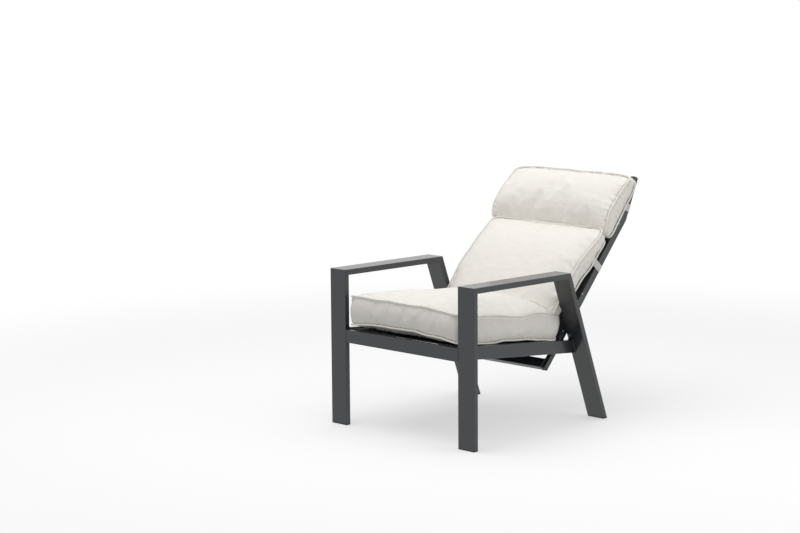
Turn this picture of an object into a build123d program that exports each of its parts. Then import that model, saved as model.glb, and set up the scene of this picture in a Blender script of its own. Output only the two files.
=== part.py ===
from build123d import *
import math
import os

# Reclining garden armchair in flat aluminium tube, fully reclined.
# Millimetres. X runs across the chair, Y from front to back, Z up, floor at 0.

# Side frames: one flat tube goes up the front, along the arm and down the back.
chair_width = 746
strip_width = 80
strip_thickness = 22
strip_wall = 2
strip_corner = 2
arm_front_height = 610
arm_drop = 9
arm_reach = 552
rear_leg_spread = 227
foot_height = 6
foot_insert = 14
foot_edge = 1.5
insert_clearance = 0.3
mitre_overrun = 60

# Seat frame.
seat_rail_width = 22
seat_rail_height = 50
seat_rail_wall = 2
seat_slope = 5.6
seat_rail_front_height = 383.5
front_rail_height = 50
front_rail_depth = 20
front_rail_drop = 6.5
cross_rail_height = 30
cross_rail_depth = 24
cross_rail_wall = 2
cross_rail_inset = 82
cross_rail_lift = 2

# Woven slings, held by round splines in grooves.
groove_bore = 6
groove_mouth = 2.2
groove_inset = 4.5
groove_drop = 5
groove_wall = 2
sling_thickness = 1.2
hem_thickness = 0.6
spline_diameter = 4
spline_clearance = 0.1
seat_sling_gap = 2
seat_sling_end_inset = 30

# Back frame, hinged on the seat rails.
recline_angle = 48
head_bend = 17
pivot_behind_arm = 26
pivot_drop = 25
back_rail_width = 20
back_rail_depth = 22
back_rail_wall = 2
back_side_gap = 5
rail_below_pivot = 107.5
rail_pivot_to_bend = 610
head_rail_length = 176.4
rail_cap_thickness = 3
rail_cap_insert = 12
bottom_bar_height = 40
middle_bar_height = 30
middle_bar_depth = 15
middle_bar_station = 560
top_bar_height = 25
top_bar_drop = 8
channel_depth = 9.5
channel_start = 26
channel_end_gap = 6
sling_end_gap = 4

# Back hinge on each side.
pivot_bolt_diameter = 10
pivot_head_diameter = 17
pivot_head_height = 5
pivot_washer_diameter = 22
pivot_washer_thickness = 2
bush_outer = 14
bush_flange_diameter = 20
bush_flange = 1.4
rivet_nut_diameter = 14
rivet_nut_length = 14
running_clearance = 0.05
seat_clearance = 0.2
face_clearance = 0.3

# Lockable gas spring under the seat.
spring_pin_setback = 84
spring_pin_drop = 51.5
spring_pin_diameter = 8
spring_pin_head = 13
spring_pin_head_height = 2.5
clevis_reach = 18.5
rod_diameter = 8
rod_shown = 45
rod_length = 235
piston_length = 12
cylinder_diameter = 22
cylinder_wall = 1.5
guide_length = 14
release_head_width = 20
release_head_height = 24
release_head_front = 22
release_head_rear = 26
valve_diameter = 5
valve_length = 17.5
valve_travel = 2.8
eye_diameter = 24
eye_width = 10
eye_play = 1.6
eye_shank = 10
eye_shank_diameter = 9
ear_thickness = 3
ear_gap = 1
bracket_plate = 3
bracket_height = 34
bracket_ear_margin = 12

# Release lever across the front of the seat.
lever_setback = 50
lever_drop = 31.5
lever_diameter = 8
lever_overhang = 12
rocker_width = 8
rocker_thickness = 7
rocker_top = 21
rocker_bottom = 23
rocker_hub = 14
valve_gap = 0.3
paddle_length = 118
paddle_height = 26
paddle_thickness = 6
paddle_tail_height = 18
grip_length = 62
grip_wall = 2.5
lever_bush_outer = 12
lever_bush_flange = 16
lever_bush_flange_thickness = 1.5

# Channel screws.
screw_diameter = 4
screw_head = 7.5
screw_head_height = 1.6
screw_inset = 8
screw_station_shares = (0.06, 0.36, 0.94)

# Cushions: a border between two piped seams, crowned above and below.
seat_pad_side_gap = 3
seat_pad_front = 20
seat_pad_overrun = 4
seat_pad_belly = 12
seat_pad_border = 96
seat_pad_crown = 32
seat_pad_lean = 11
seat_pad_corner = 34
seat_pad_draw = 7
lower_pad_start = 136.5
lower_pad_end = 496
lower_pad_standoff = 24.5
lower_pad_tilt = 4.4
lower_pad_belly = 13
lower_pad_border = 67
lower_pad_crown = 23
head_pad_overhang = 10
head_pad_length = 232
head_pad_tilt = 7.5
head_pad_station = 84
head_pad_standoff = 46.7
head_pad_belly = 9
head_pad_border = 60
head_pad_crown = 22
back_pad_corner = 26
back_pad_draw = 4
pad_bulge = 3
pad_rest_gap = 0.3
crown_rise_shares = (0, 0.34, 0.6, 0.8, 0.93, 1)
crown_inset_shares = (0, 0.035, 0.1, 0.2, 0.33, 0.5)
crown_corner_share = 0.2

# Straps that hold the back cushions to the back frame.
strap_width = 30
strap_thickness = 1.5
strap_station = 372
strap_reach = 40.5
head_strap_station = 48
head_strap_reach = 33.2
strap_corner = 2

# Places worked out from the sizes above.
half_width = chair_width / 2
leg_inner = half_width - strip_width
leg_middle = half_width - strip_width / 2
back_rail_outer = leg_inner - back_side_gap
back_rail_inner = back_rail_outer - back_rail_width
back_rail_middle = back_rail_outer - back_rail_width / 2
back_half = back_rail_depth / 2
head_angle = recline_angle + head_bend
seat_pad_width = 2 * (leg_inner - seat_pad_side_gap)
lower_pad_width = 2 * back_rail_outer
head_pad_width = 2 * (back_rail_outer + head_pad_overhang)

# Places along the seat, which follow the arm's rear end and the seat rails' top.
cross_rail_setback = arm_reach - cross_rail_inset
seat_sling_length = arm_reach - seat_sling_end_inset
seat_pad_rear = arm_reach + seat_pad_overrun
pivot_setback = arm_reach + pivot_behind_arm
rail_fall = (pivot_setback - strip_thickness) * math.tan(math.radians(seat_slope))
pivot_height = seat_rail_front_height - rail_fall - pivot_drop
front_rail_top = seat_rail_front_height - front_rail_drop
spring_pin_height = seat_rail_front_height - spring_pin_drop
lever_height = seat_rail_front_height - lever_drop


def direction(angle):
    return Vector(0, math.cos(math.radians(angle)), math.sin(math.radians(angle)))


def outward(angle):
    return Vector(0, -math.sin(math.radians(angle)), math.cos(math.radians(angle)))


pivot_to_top = (
    rail_pivot_to_bend * direction(recline_angle)
    + head_rail_length * direction(head_angle)
    - back_half * outward(head_angle)
)
chair_depth = pivot_setback + pivot_to_top.Y
front = -chair_depth / 2

pivot = Vector(0, front + pivot_setback, pivot_height)
bend = pivot + rail_pivot_to_bend * direction(recline_angle)


def across(point, x):
    return Vector(x, point.Y, point.Z)


def seat_point(along, up):
    corner = Vector(0, front + strip_thickness, seat_rail_front_height)
    return corner + along * direction(-seat_slope) + up * outward(-seat_slope)


def back_point(along, out):
    return pivot + along * direction(recline_angle) + out * outward(recline_angle)


def head_point(along, out):
    return bend + along * direction(head_angle) + out * outward(head_angle)


def section_plane(point, heading, x=0):
    return Plane(origin=across(point, x), x_dir=(1, 0, 0), z_dir=-heading)


def side_plane(x, heading=Vector(0, 1, 0), point=Vector(0, 0, 0)):
    return Plane(origin=across(point, x), x_dir=heading, z_dir=(1, 0, 0))


def save(part, name):
    part.label = name
    export_step(part, "parts/" + name + ".step")


os.makedirs("parts", exist_ok=True)
sides = (("left", 1), ("right", -1))


def rounded_tube(width, depth, wall, corner):
    RectangleRounded(width, depth, corner)
    Rectangle(width - 2 * wall, depth - 2 * wall, mode=Mode.SUBTRACT)


# Side frames. The outer outline goes through these four corners, and each tube
# is cut at its mitre where it meets the next.
arm_rear_height = arm_front_height - arm_drop
arm_heading = Vector(0, arm_reach, -arm_drop).normalized()
rear_heading = Vector(0, rear_leg_spread, -arm_rear_height).normalized()
up = Vector(0, 0, 1)
front_corner = Vector(0, front, arm_front_height)
rear_corner = Vector(0, front + arm_reach, arm_rear_height)
sole_corner = Vector(0, front + arm_reach + rear_leg_spread, 0)


def inward(heading):
    return Vector(0, heading.Z, -heading.Y)


def mitre(corner, first, second):
    return Plane(origin=corner, z_dir=(first - second).normalized())


def strip_tube(start, heading, length, x, cuts):
    middle = start + strip_thickness / 2 * inward(heading) - mitre_overrun * heading
    with BuildPart() as tube:
        with BuildSketch(section_plane(middle, heading, x)):
            rounded_tube(strip_width, strip_thickness, strip_wall, strip_corner)
        extrude(amount=length + 2 * mitre_overrun, dir=heading)
        for plane, kept in cuts:
            split(bisect_by=plane, keep=kept)
    return tube.part


front_mitre = mitre(front_corner, arm_heading, -up)
rear_mitre = mitre(rear_corner, rear_heading, -arm_heading)
foot_line = Plane(origin=(0, 0, foot_height), z_dir=(0, 0, 1))
front_leg_cuts = ((front_mitre, Keep.BOTTOM), (foot_line, Keep.TOP))
armrest_cuts = ((front_mitre, Keep.TOP), (rear_mitre, Keep.BOTTOM))
rear_leg_cuts = ((rear_mitre, Keep.TOP), (foot_line, Keep.TOP))
floor_corner = Vector(0, front, 0)

for side, s in sides:
    x = s * leg_middle
    save(strip_tube(floor_corner, up, arm_front_height, x, front_leg_cuts), "front_leg_" + side)
    save(strip_tube(front_corner, arm_heading, arm_reach, x, armrest_cuts), "armrest_" + side)
    save(strip_tube(rear_corner, rear_heading, arm_rear_height, x, rear_leg_cuts), "rear_leg_" + side)


# Plastic feet: a sole under the tube and a plug inside it.
def foot_block(start, heading, x, width, thickness, corner, low, high):
    middle = start + strip_thickness / 2 * inward(heading)
    with BuildPart() as block:
        with BuildSketch(section_plane(middle, heading, x)):
            RectangleRounded(width, thickness, corner)
        extrude(amount=mitre_overrun, both=True)
        split(bisect_by=Plane.XY.offset(low), keep=Keep.TOP)
        split(bisect_by=Plane.XY.offset(high), keep=Keep.BOTTOM)
    return block.part


def foot(start, heading, x):
    margin = 2 * (strip_wall + insert_clearance)
    with BuildPart() as cap:
        add(foot_block(start, heading, x, strip_width, strip_thickness, strip_corner, 0, foot_height))
        chamfer(cap.faces().sort_by(Axis.Z)[0].edges(), foot_edge)
        add(foot_block(
            start, heading, x, strip_width - margin, strip_thickness - margin,
            strip_corner / 2, foot_height, foot_height + foot_insert,
        ))
    return cap.part


for side, s in sides:
    save(foot(floor_corner, up, s * leg_middle), "front_foot_" + side)
    save(foot(sole_corner, rear_heading, s * leg_middle), "rear_foot_" + side)

# Front rail, a square-ended tube between the front legs.
front_rail_middle = Vector(0, front + front_rail_depth / 2, front_rail_top - front_rail_height / 2)
with BuildPart() as front_rail:
    with BuildSketch(side_plane(0, point=front_rail_middle)):
        rounded_tube(front_rail_depth, front_rail_height, seat_rail_wall, strip_corner)
    extrude(amount=leg_inner, both=True)
save(front_rail.part, "front_rail")


# A groove for a spline, with its bore and the mouth that the sling comes out of.
def spline_groove(x, y, s):
    with Locations((x, y)):
        Circle(groove_bore / 2, mode=Mode.SUBTRACT)
    with Locations((x - s * groove_inset, y)):
        Rectangle(2 * groove_inset, groove_mouth, mode=Mode.SUBTRACT)


# Seat rails: the legs cut their ends, and the rivet nut of the back hinge and
# the release shaft pass through their walls.
leg_rear_face = Plane(origin=(0, front + strip_thickness, 0), z_dir=(0, 1, 0))
rear_leg_front = rear_corner + strip_thickness * inward(rear_heading)
leg_front_face = Plane(origin=rear_leg_front, z_dir=inward(rear_heading))
seat_heading = direction(-seat_slope)
seat_rail_run = arm_reach + rear_leg_spread
lever_point = Vector(0, front + lever_setback, lever_height)
rivet_hole = rivet_nut_diameter + 2 * seat_clearance
lever_bush_hole = lever_bush_outer + 2 * seat_clearance
seat_rail_outer = leg_inner + seat_rail_width
groove_height = seat_rail_height / 2 - groove_drop
groove_land = groove_bore + 2 * groove_wall

for side, s in sides:
    rail_x = s * (leg_inner + seat_rail_width / 2)
    groove_x = s * (groove_inset - seat_rail_width / 2)
    land_x = s * ((groove_inset + groove_land / 2 - seat_rail_width) / 2)
    rail_start = seat_point(-mitre_overrun, -seat_rail_height / 2)
    with BuildPart() as seat_rail:
        with BuildSketch(section_plane(rail_start, seat_heading, rail_x)):
            rounded_tube(seat_rail_width, seat_rail_height, seat_rail_wall, strip_corner)
            with Locations((land_x, seat_rail_height / 2 - groove_land / 2)):
                Rectangle(groove_inset + groove_land / 2, groove_land)
            spline_groove(groove_x, groove_height, s)
        extrude(amount=seat_rail_run + 2 * mitre_overrun, dir=seat_heading)
        split(bisect_by=leg_rear_face, keep=Keep.TOP)
        split(bisect_by=leg_front_face, keep=Keep.TOP)
        with BuildSketch(side_plane(rail_x, point=pivot)):
            Circle(rivet_hole / 2)
        extrude(amount=-s * seat_rail_width, mode=Mode.SUBTRACT)
        if side == "right":
            with BuildSketch(side_plane(rail_x, point=lever_point)):
                Circle(lever_bush_hole / 2)
            extrude(amount=seat_rail_width, both=True, mode=Mode.SUBTRACT)
    save(seat_rail.part, "seat_rail_" + side)

# Cross rail under the rear of the seat, between the seat rails.
cross_rail_middle = seat_point(
    cross_rail_setback - strip_thickness,
    cross_rail_lift + cross_rail_height / 2 - seat_rail_height,
)
with BuildPart() as seat_cross_rail:
    with BuildSketch(side_plane(0, seat_heading, cross_rail_middle)):
        rounded_tube(cross_rail_depth, cross_rail_height, cross_rail_wall, strip_corner)
    extrude(amount=leg_inner, both=True)
save(seat_cross_rail.part, "seat_cross_rail")

# Slings: one layer of woven fabric with a hem round a spline along each side.
hem_inner = spline_diameter + 2 * spline_clearance
hem_outer = hem_inner + 2 * hem_thickness


def sling_section(half_span):
    Rectangle(2 * half_span - hem_inner, sling_thickness)
    with Locations((half_span, 0), (-half_span, 0)):
        Circle(hem_outer / 2)
        Circle(hem_inner / 2, mode=Mode.SUBTRACT)


def spline_section(half_span):
    with Locations((half_span, 0), (-half_span, 0)):
        Circle(spline_diameter / 2)


seat_span = leg_inner + groove_inset
seat_sling_start = seat_point(seat_sling_gap, -groove_drop)
with BuildPart() as seat_sling:
    with BuildSketch(section_plane(seat_sling_start, seat_heading)):
        sling_section(seat_span)
    extrude(amount=seat_sling_length, dir=seat_heading)
save(seat_sling.part, "seat_sling")

with BuildPart() as seat_splines:
    with BuildSketch(section_plane(seat_sling_start, seat_heading)):
        spline_section(seat_span)
    extrude(amount=seat_sling_length, dir=seat_heading)
save(seat_splines.part, "seat_sling_splines")

# Back frame. Its side rails and everything that follows them bend at the head.
back_heading = direction(recline_angle)
head_heading = direction(head_angle)
knee_share = math.tan(math.radians(head_bend / 2))
rail_foot = rail_cap_thickness - rail_below_pivot
rail_head = head_rail_length - rail_cap_thickness
channel_out = back_half + channel_depth / 2
channel_end = head_rail_length - channel_end_gap
sling_start = channel_start + sling_end_gap
sling_end = channel_end - sling_end_gap


def back_run(start, end, out):
    knee = rail_pivot_to_bend - out * knee_share
    return back_point(start, out), back_point(knee, out), head_point(end, out)


for side, s in sides:
    with BuildPart() as back_rail:
        with BuildLine():
            Polyline(*[across(p, s * back_rail_middle) for p in back_run(rail_foot, rail_head, 0)])
        rail_start = back_point(rail_foot, 0)
        with BuildSketch(section_plane(rail_start, back_heading, s * back_rail_middle)):
            rounded_tube(back_rail_width, back_rail_depth, back_rail_wall, strip_corner)
        sweep(transition=Transition.RIGHT)
        with BuildSketch(side_plane(s * back_rail_middle, point=pivot)):
            Circle(bush_outer / 2 + seat_clearance)
        extrude(amount=back_rail_width, both=True, mode=Mode.SUBTRACT)
    save(back_rail.part, "back_rail_" + side)


# The cross tubes of the back frame, each square to the rails that it joins.
def back_bar(point, heading, height, depth):
    with BuildPart() as bar:
        with BuildSketch(side_plane(0, heading, point)):
            rounded_tube(height, depth, back_rail_wall, strip_corner)
        extrude(amount=back_rail_inner, both=True)
    return bar.part


bottom_bar_along = bottom_bar_height / 2 - rail_below_pivot
bottom_bar_point = back_point(bottom_bar_along, 0)
middle_bar_point = back_point(middle_bar_station, middle_bar_depth / 2 - back_half)
top_bar_point = head_point(head_rail_length - top_bar_drop - top_bar_height / 2, 0)
save(back_bar(bottom_bar_point, back_heading, bottom_bar_height, back_rail_depth), "back_bottom_bar")
save(back_bar(middle_bar_point, back_heading, middle_bar_height, middle_bar_depth), "back_middle_bar")
save(back_bar(top_bar_point, head_heading, top_bar_height, back_rail_depth), "back_top_bar")


# Plastic caps in the ends of the back rails.
def rail_cap(point, heading, x):
    margin = 2 * (back_rail_wall + insert_clearance)
    with BuildPart() as cap:
        with BuildSketch(section_plane(point, heading, x)):
            RectangleRounded(back_rail_width, back_rail_depth, strip_corner)
        extrude(amount=rail_cap_thickness, dir=heading)
        with BuildSketch(section_plane(point, heading, x)):
            RectangleRounded(back_rail_width - margin, back_rail_depth - margin, strip_corner / 2)
        extrude(amount=rail_cap_insert, dir=-heading)
    return cap.part


for side, s in sides:
    x = s * back_rail_middle
    save(rail_cap(head_point(rail_head, 0), head_heading, x), "back_rail_top_cap_" + side)
    save(rail_cap(back_point(rail_foot, 0), -back_heading, x), "back_rail_bottom_cap_" + side)

# Sling channels along the front of the back rails, each fixed by screws from its side.
screw_points = [
    back_point(channel_start + share * (rail_pivot_to_bend - channel_start), channel_out)
    for share in screw_station_shares
]
screw_points.append(head_point(head_rail_length / 2, channel_out))
channel_path = back_run(channel_start, channel_end, channel_out)

for side, s in sides:
    with BuildPart() as channel:
        with BuildLine():
            Polyline(*[across(p, s * back_rail_middle) for p in channel_path])
        with BuildSketch(section_plane(channel_path[0], back_heading, s * back_rail_middle)):
            Rectangle(back_rail_width, channel_depth)
            spline_groove(s * (groove_inset - back_rail_width / 2), 0, s)
        sweep(transition=Transition.RIGHT)
        for point in screw_points:
            with BuildSketch(side_plane(s * back_rail_outer, point=point)):
                Circle(screw_diameter / 2 + running_clearance)
            extrude(amount=-s * (screw_inset + face_clearance), mode=Mode.SUBTRACT)
    save(channel.part, "back_channel_" + side)

with BuildPart() as channel_screws:
    for point in screw_points:
        for side, s in sides:
            with BuildSketch(side_plane(s * back_rail_outer, point=point)):
                Circle(screw_diameter / 2)
            extrude(amount=-s * screw_inset)
            with BuildSketch(side_plane(s * back_rail_outer, point=point)):
                Circle(screw_head / 2)
            extrude(amount=s * screw_head_height)
save(channel_screws.part, "channel_screws")

back_span = back_rail_inner + groove_inset
sling_path = back_run(sling_start, sling_end, channel_out)
with BuildPart() as back_sling:
    with BuildLine():
        Polyline(*sling_path)
    with BuildSketch(section_plane(sling_path[0], back_heading)):
        sling_section(back_span)
    sweep(transition=Transition.RIGHT)
save(back_sling.part, "back_sling")

with BuildPart() as back_splines:
    with BuildLine():
        Polyline(*sling_path)
    with BuildSketch(section_plane(sling_path[0], back_heading)):
        spline_section(back_span)
    sweep(transition=Transition.RIGHT)
save(back_splines.part, "back_sling_splines")


# Back hinge. A shoulder bolt runs from inside each back rail, through a bush and
# a spacer, into a rivet nut in the seat rail.
def ring(point, x, length, outer, inner=0):
    with BuildPart() as part:
        with BuildSketch(side_plane(x, point=point)):
            Circle(outer / 2)
            if inner:
                Circle(inner / 2, mode=Mode.SUBTRACT)
        extrude(amount=length)
    return part.part


flange_face = back_rail_outer + bush_flange
head_side = back_rail_inner - bush_flange - face_clearance
bush_bore = pivot_bolt_diameter + 2 * running_clearance
bolt_hole = pivot_bolt_diameter + 2 * seat_clearance

for side, s in sides:
    with BuildPart() as bush:
        add(ring(pivot, s * back_rail_inner, s * back_rail_width, bush_outer, bush_bore))
        add(ring(pivot, s * back_rail_inner, -s * bush_flange, bush_flange_diameter, bush_bore))
        add(ring(pivot, s * back_rail_outer, s * bush_flange, bush_flange_diameter, bush_bore))
    save(bush.part, "pivot_bush_" + side)

    with BuildPart() as bolt:
        bolt_start = head_side - pivot_washer_thickness
        shank = leg_inner + rivet_nut_length - bolt_start
        add(ring(pivot, s * bolt_start, s * shank, pivot_bolt_diameter))
        add(ring(pivot, s * bolt_start, -s * pivot_head_height, pivot_head_diameter))
        with BuildSketch(side_plane(s * (bolt_start - pivot_head_height), point=pivot)):
            RegularPolygon(pivot_head_diameter / 4, side_count=6)
        extrude(amount=s * pivot_head_height / 2, mode=Mode.SUBTRACT)
    save(bolt.part, "pivot_bolt_" + side)

with BuildPart() as spacers:
    for side, s in sides:
        spacer_start = flange_face + face_clearance
        add(ring(pivot, s * spacer_start, s * (leg_inner - spacer_start), pivot_washer_diameter, bolt_hole))
save(spacers.part, "pivot_spacers")

with BuildPart() as washers:
    for side, s in sides:
        add(ring(pivot, s * head_side, -s * pivot_washer_thickness, pivot_washer_diameter, bolt_hole))
save(washers.part, "pivot_washers")

with BuildPart() as rivet_nuts:
    for side, s in sides:
        add(ring(pivot, s * leg_inner, s * rivet_nut_length, rivet_nut_diameter, bush_bore))
save(rivet_nuts.part, "pivot_rivet_nuts")

# Gas spring, from the pin behind the front rail to the pin on the bottom bar.
spring_front = Vector(0, front + spring_pin_setback, spring_pin_height)
spring_rear = back_point(bottom_bar_along, back_half + clevis_reach)
spring_heading = (spring_rear - spring_front).normalized()
spring_length = (spring_rear - spring_front).length


def spring_point(along):
    return spring_front + along * spring_heading


def round_bar(start, length, outer, inner=0):
    with BuildPart() as part:
        with BuildSketch(section_plane(spring_point(start), spring_heading)):
            Circle(outer / 2)
            if inner:
                Circle(inner / 2, mode=Mode.SUBTRACT)
        extrude(amount=length, dir=spring_heading)
    return part.part


cylinder_bore = cylinder_diameter - 2 * cylinder_wall
cylinder_start = release_head_rear + rod_shown
cylinder_end = spring_length - eye_diameter / 2 - eye_shank
rod_end = release_head_rear + rod_length
save(round_bar(release_head_rear, rod_length, rod_diameter), "gas_spring_rod")
save(round_bar(rod_end, piston_length, cylinder_bore - 2 * running_clearance), "gas_spring_piston")
save(
    round_bar(cylinder_start, guide_length, cylinder_bore, rod_diameter + 2 * running_clearance),
    "gas_spring_guide",
)
with BuildPart() as cylinder:
    add(round_bar(cylinder_start, cylinder_end - cylinder_start, cylinder_diameter))
    add(
        round_bar(cylinder_start, cylinder_end - cylinder_start - 2 * cylinder_wall, cylinder_bore),
        mode=Mode.SUBTRACT,
    )
save(cylinder.part, "gas_spring_cylinder")

# Rear eye, with room for the pin to wander as the back turns.
with BuildPart() as rear_eye:
    with BuildSketch(side_plane(0, point=spring_rear)):
        Circle(eye_diameter / 2)
    extrude(amount=eye_width / 2, both=True)
    add(round_bar(cylinder_end, eye_shank + eye_diameter / 2, eye_shank_diameter))
    with BuildSketch(side_plane(0, point=spring_rear)):
        Circle(spring_pin_diameter / 2 + eye_play)
    extrude(amount=eye_width, both=True, mode=Mode.SUBTRACT)
save(rear_eye.part, "gas_spring_eye")

# Release head on the front of the rod, with the valve pin that the lever pushes.
valve_lean = abs(spring_heading.Z)
valve_reach = spring_pin_setback - lever_setback - rocker_thickness / 2 - valve_gap
valve_tip = -(valve_reach - valve_diameter / 2 * valve_lean) / spring_heading.Y
with BuildPart() as release_head:
    with BuildSketch(section_plane(spring_point(-release_head_front), spring_heading)):
        RectangleRounded(release_head_width, release_head_height, strip_corner)
    extrude(amount=release_head_front + release_head_rear, dir=spring_heading)
    with BuildSketch(side_plane(0, point=spring_front)):
        Circle(spring_pin_diameter / 2 + running_clearance)
    extrude(amount=release_head_width, both=True, mode=Mode.SUBTRACT)
    with BuildSketch(section_plane(spring_point(valve_tip), spring_heading)):
        Circle(valve_diameter / 2 + running_clearance)
    extrude(
        amount=valve_length + valve_travel + face_clearance,
        dir=spring_heading,
        mode=Mode.SUBTRACT,
    )
save(release_head.part, "release_head")
save(round_bar(valve_tip, valve_length, valve_diameter), "valve_pin")


# Pins with a head at one end and a retaining ring at the other.
def cross_pin(point, half_grip):
    with BuildPart() as pin:
        add(ring(point, -half_grip, 2 * half_grip, spring_pin_diameter))
        add(ring(point, half_grip, spring_pin_head_height, spring_pin_head))
        add(ring(point, -half_grip, -spring_pin_head_height, spring_pin_head))
    return pin.part


head_ear_face = release_head_width / 2 + ear_gap
eye_ear_face = eye_width / 2 + ear_gap
pin_hole = spring_pin_diameter + 2 * seat_clearance
save(cross_pin(spring_front, head_ear_face + ear_thickness), "spring_front_pin")
save(cross_pin(spring_rear, eye_ear_face + ear_thickness), "spring_rear_pin")

# Front bracket behind the front rail: two ears that hold the spring's pin and
# the release shaft, on a plate welded to the rail.
bracket_face = Vector(0, front + front_rail_depth, front_rail_middle.Z)
shaft_hole = lever_diameter + 2 * running_clearance
with BuildPart() as front_bracket:
    with BuildSketch(side_plane(head_ear_face)):
        with Locations((lever_point.Y, lever_point.Z)):
            Circle(bracket_ear_margin)
        with Locations((spring_front.Y, spring_front.Z)):
            Circle(bracket_ear_margin)
        with Locations((bracket_face.Y + bracket_plate / 2, bracket_face.Z)):
            Rectangle(bracket_plate, bracket_height)
        make_hull()
        with Locations((lever_point.Y, lever_point.Z)):
            Circle(shaft_hole / 2, mode=Mode.SUBTRACT)
        with Locations((spring_front.Y, spring_front.Z)):
            Circle(pin_hole / 2, mode=Mode.SUBTRACT)
    extrude(amount=ear_thickness)
    mirror(about=Plane.YZ)
    with BuildSketch(Plane(origin=bracket_face, x_dir=(1, 0, 0), z_dir=(0, 1, 0))):
        Rectangle(2 * (head_ear_face + ear_thickness + bracket_ear_margin), bracket_height)
    extrude(amount=bracket_plate)
save(front_bracket.part, "spring_front_bracket")

# Rear clevis on the front face of the back frame's bottom bar.
clevis_face = back_point(bottom_bar_along, back_half)
with BuildPart() as rear_clevis:
    with BuildSketch(side_plane(eye_ear_face, back_heading, clevis_face)):
        with Locations((0, clevis_reach)):
            Circle(bracket_ear_margin)
        with Locations((0, bracket_plate / 2)):
            Rectangle(2 * bracket_ear_margin + bracket_plate, bracket_plate)
        make_hull()
        with Locations((0, clevis_reach)):
            Circle(pin_hole / 2, mode=Mode.SUBTRACT)
    extrude(amount=ear_thickness)
    mirror(about=Plane.YZ)
    with BuildSketch(side_plane(0, back_heading, clevis_face)):
        with Locations((0, bracket_plate / 2)):
            Rectangle(2 * bracket_ear_margin + bracket_plate, bracket_plate)
    extrude(amount=eye_ear_face + ear_thickness + bracket_ear_margin, both=True)
save(rear_clevis.part, "spring_rear_clevis")

# Release lever: a shaft with a rocker in front of the valve pin, and a paddle
# outside the right seat rail.
half_bush = seat_rail_width / 2
bush_face = seat_rail_outer + lever_bush_flange_thickness
paddle_face = bush_face + face_clearance + grip_wall
shaft_start = head_ear_face + ear_thickness + lever_overhang
save(
    ring(lever_point, shaft_start, -(shaft_start + paddle_face + paddle_thickness), lever_diameter),
    "release_shaft",
)

with BuildPart() as lever_bushes:
    add(ring(lever_point, -leg_inner, -half_bush, lever_bush_outer, shaft_hole))
    add(ring(lever_point, -leg_inner, lever_bush_flange_thickness, lever_bush_flange, shaft_hole))
    add(ring(lever_point, -seat_rail_outer, half_bush, lever_bush_outer, shaft_hole))
    add(ring(lever_point, -seat_rail_outer, -lever_bush_flange_thickness, lever_bush_flange, shaft_hole))
save(lever_bushes.part, "release_shaft_bushes")

with BuildPart() as rocker:
    with BuildSketch(side_plane(0, point=lever_point)):
        with Locations((0, (rocker_top - rocker_bottom) / 2)):
            RectangleRounded(rocker_thickness, rocker_top + rocker_bottom, strip_corner)
        Circle(rocker_hub / 2)
        Circle(shaft_hole / 2, mode=Mode.SUBTRACT)
    extrude(amount=rocker_width / 2, both=True)
save(rocker.part, "release_rocker")


def paddle_outline(start_share, margin):
    tail = paddle_tail_height / 2
    reach = paddle_length - tail
    low = (paddle_tail_height - paddle_height) / 2
    radius = tail + (1 - start_share) * (paddle_height / 2 - tail)
    with Locations((start_share * reach, start_share * low)):
        Circle(radius + margin)
    with Locations((reach, low)):
        Circle(tail + margin)
    make_hull()


with BuildPart() as paddle:
    with BuildSketch(side_plane(-paddle_face, point=lever_point)):
        paddle_outline(0, 0)
        Circle(shaft_hole / 2, mode=Mode.SUBTRACT)
    extrude(amount=-paddle_thickness)
save(paddle.part, "release_paddle")

grip_share = 1 - grip_length / paddle_length
with BuildPart() as grip:
    with BuildSketch(side_plane(-paddle_face + grip_wall, point=lever_point)):
        paddle_outline(grip_share, grip_wall)
    extrude(amount=-(paddle_thickness + 2 * grip_wall))
    add(paddle.part, mode=Mode.SUBTRACT)
save(grip.part, "release_grip")


# Cushions. Each is a border between two piped seams, with its sides drawn in
# between the corners, and a crown above and a belly below.
def pad_outline(width, length, corner, draw):
    x, y = width / 2, length / 2
    cut = corner * (1 - math.sqrt(0.5))
    with BuildLine() as outline:
        ThreePointArc((corner - x, -y), (0, draw - y), (x - corner, -y))
        ThreePointArc((x - corner, -y), (x - cut, cut - y), (x, corner - y))
        ThreePointArc((x, corner - y), (x - draw, 0), (x, y - corner))
        ThreePointArc((x, y - corner), (x - cut, y - cut), (x - corner, y))
        ThreePointArc((x - corner, y), (0, y - draw), (corner - x, y))
        ThreePointArc((corner - x, y), (cut - x, y - cut), (-x, y - corner))
        ThreePointArc((-x, y - corner), (draw - x, 0), (-x, corner - y))
        ThreePointArc((-x, corner - y), (cut - x, cut - y), (corner - x, -y))
    with BuildSketch() as face:
        with BuildLine():
            add(outline.line)
        make_face()
    return face.sketch


def pad(plane, width, length, belly, border, crown, corner, draw, lean):
    half_short = min(width, length) / 2

    def outline(inset_share, spread):
        inset = inset_share * half_short
        return pad_outline(
            width - 2 * inset,
            length + 2 * spread - 2 * inset,
            corner + crown_corner_share * inset,
            draw * (1 - inset_share),
        )

    rows = list(zip(crown_rise_shares, crown_inset_shares))
    belly_rows = [(belly * (1 - rise), outline(inset, -lean)) for rise, inset in reversed(rows)]
    border_rows = [
        (belly, outline(0, -lean)),
        (belly + border / 2, outline(-pad_bulge / half_short, 0)),
        (belly + border, outline(0, lean)),
    ]
    crown_rows = [(belly + border + crown * rise, outline(inset, lean)) for rise, inset in rows]
    with BuildPart() as cushion:
        for stack in (belly_rows, border_rows, crown_rows):
            for height, face in stack:
                with BuildSketch(plane.offset(height)):
                    add(face)
            loft(ruled=True)
    return cushion.part


def pad_plane(point, heading):
    return Plane(origin=point, x_dir=(1, 0, 0), z_dir=Vector(0, -heading.Z, heading.Y))


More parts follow.
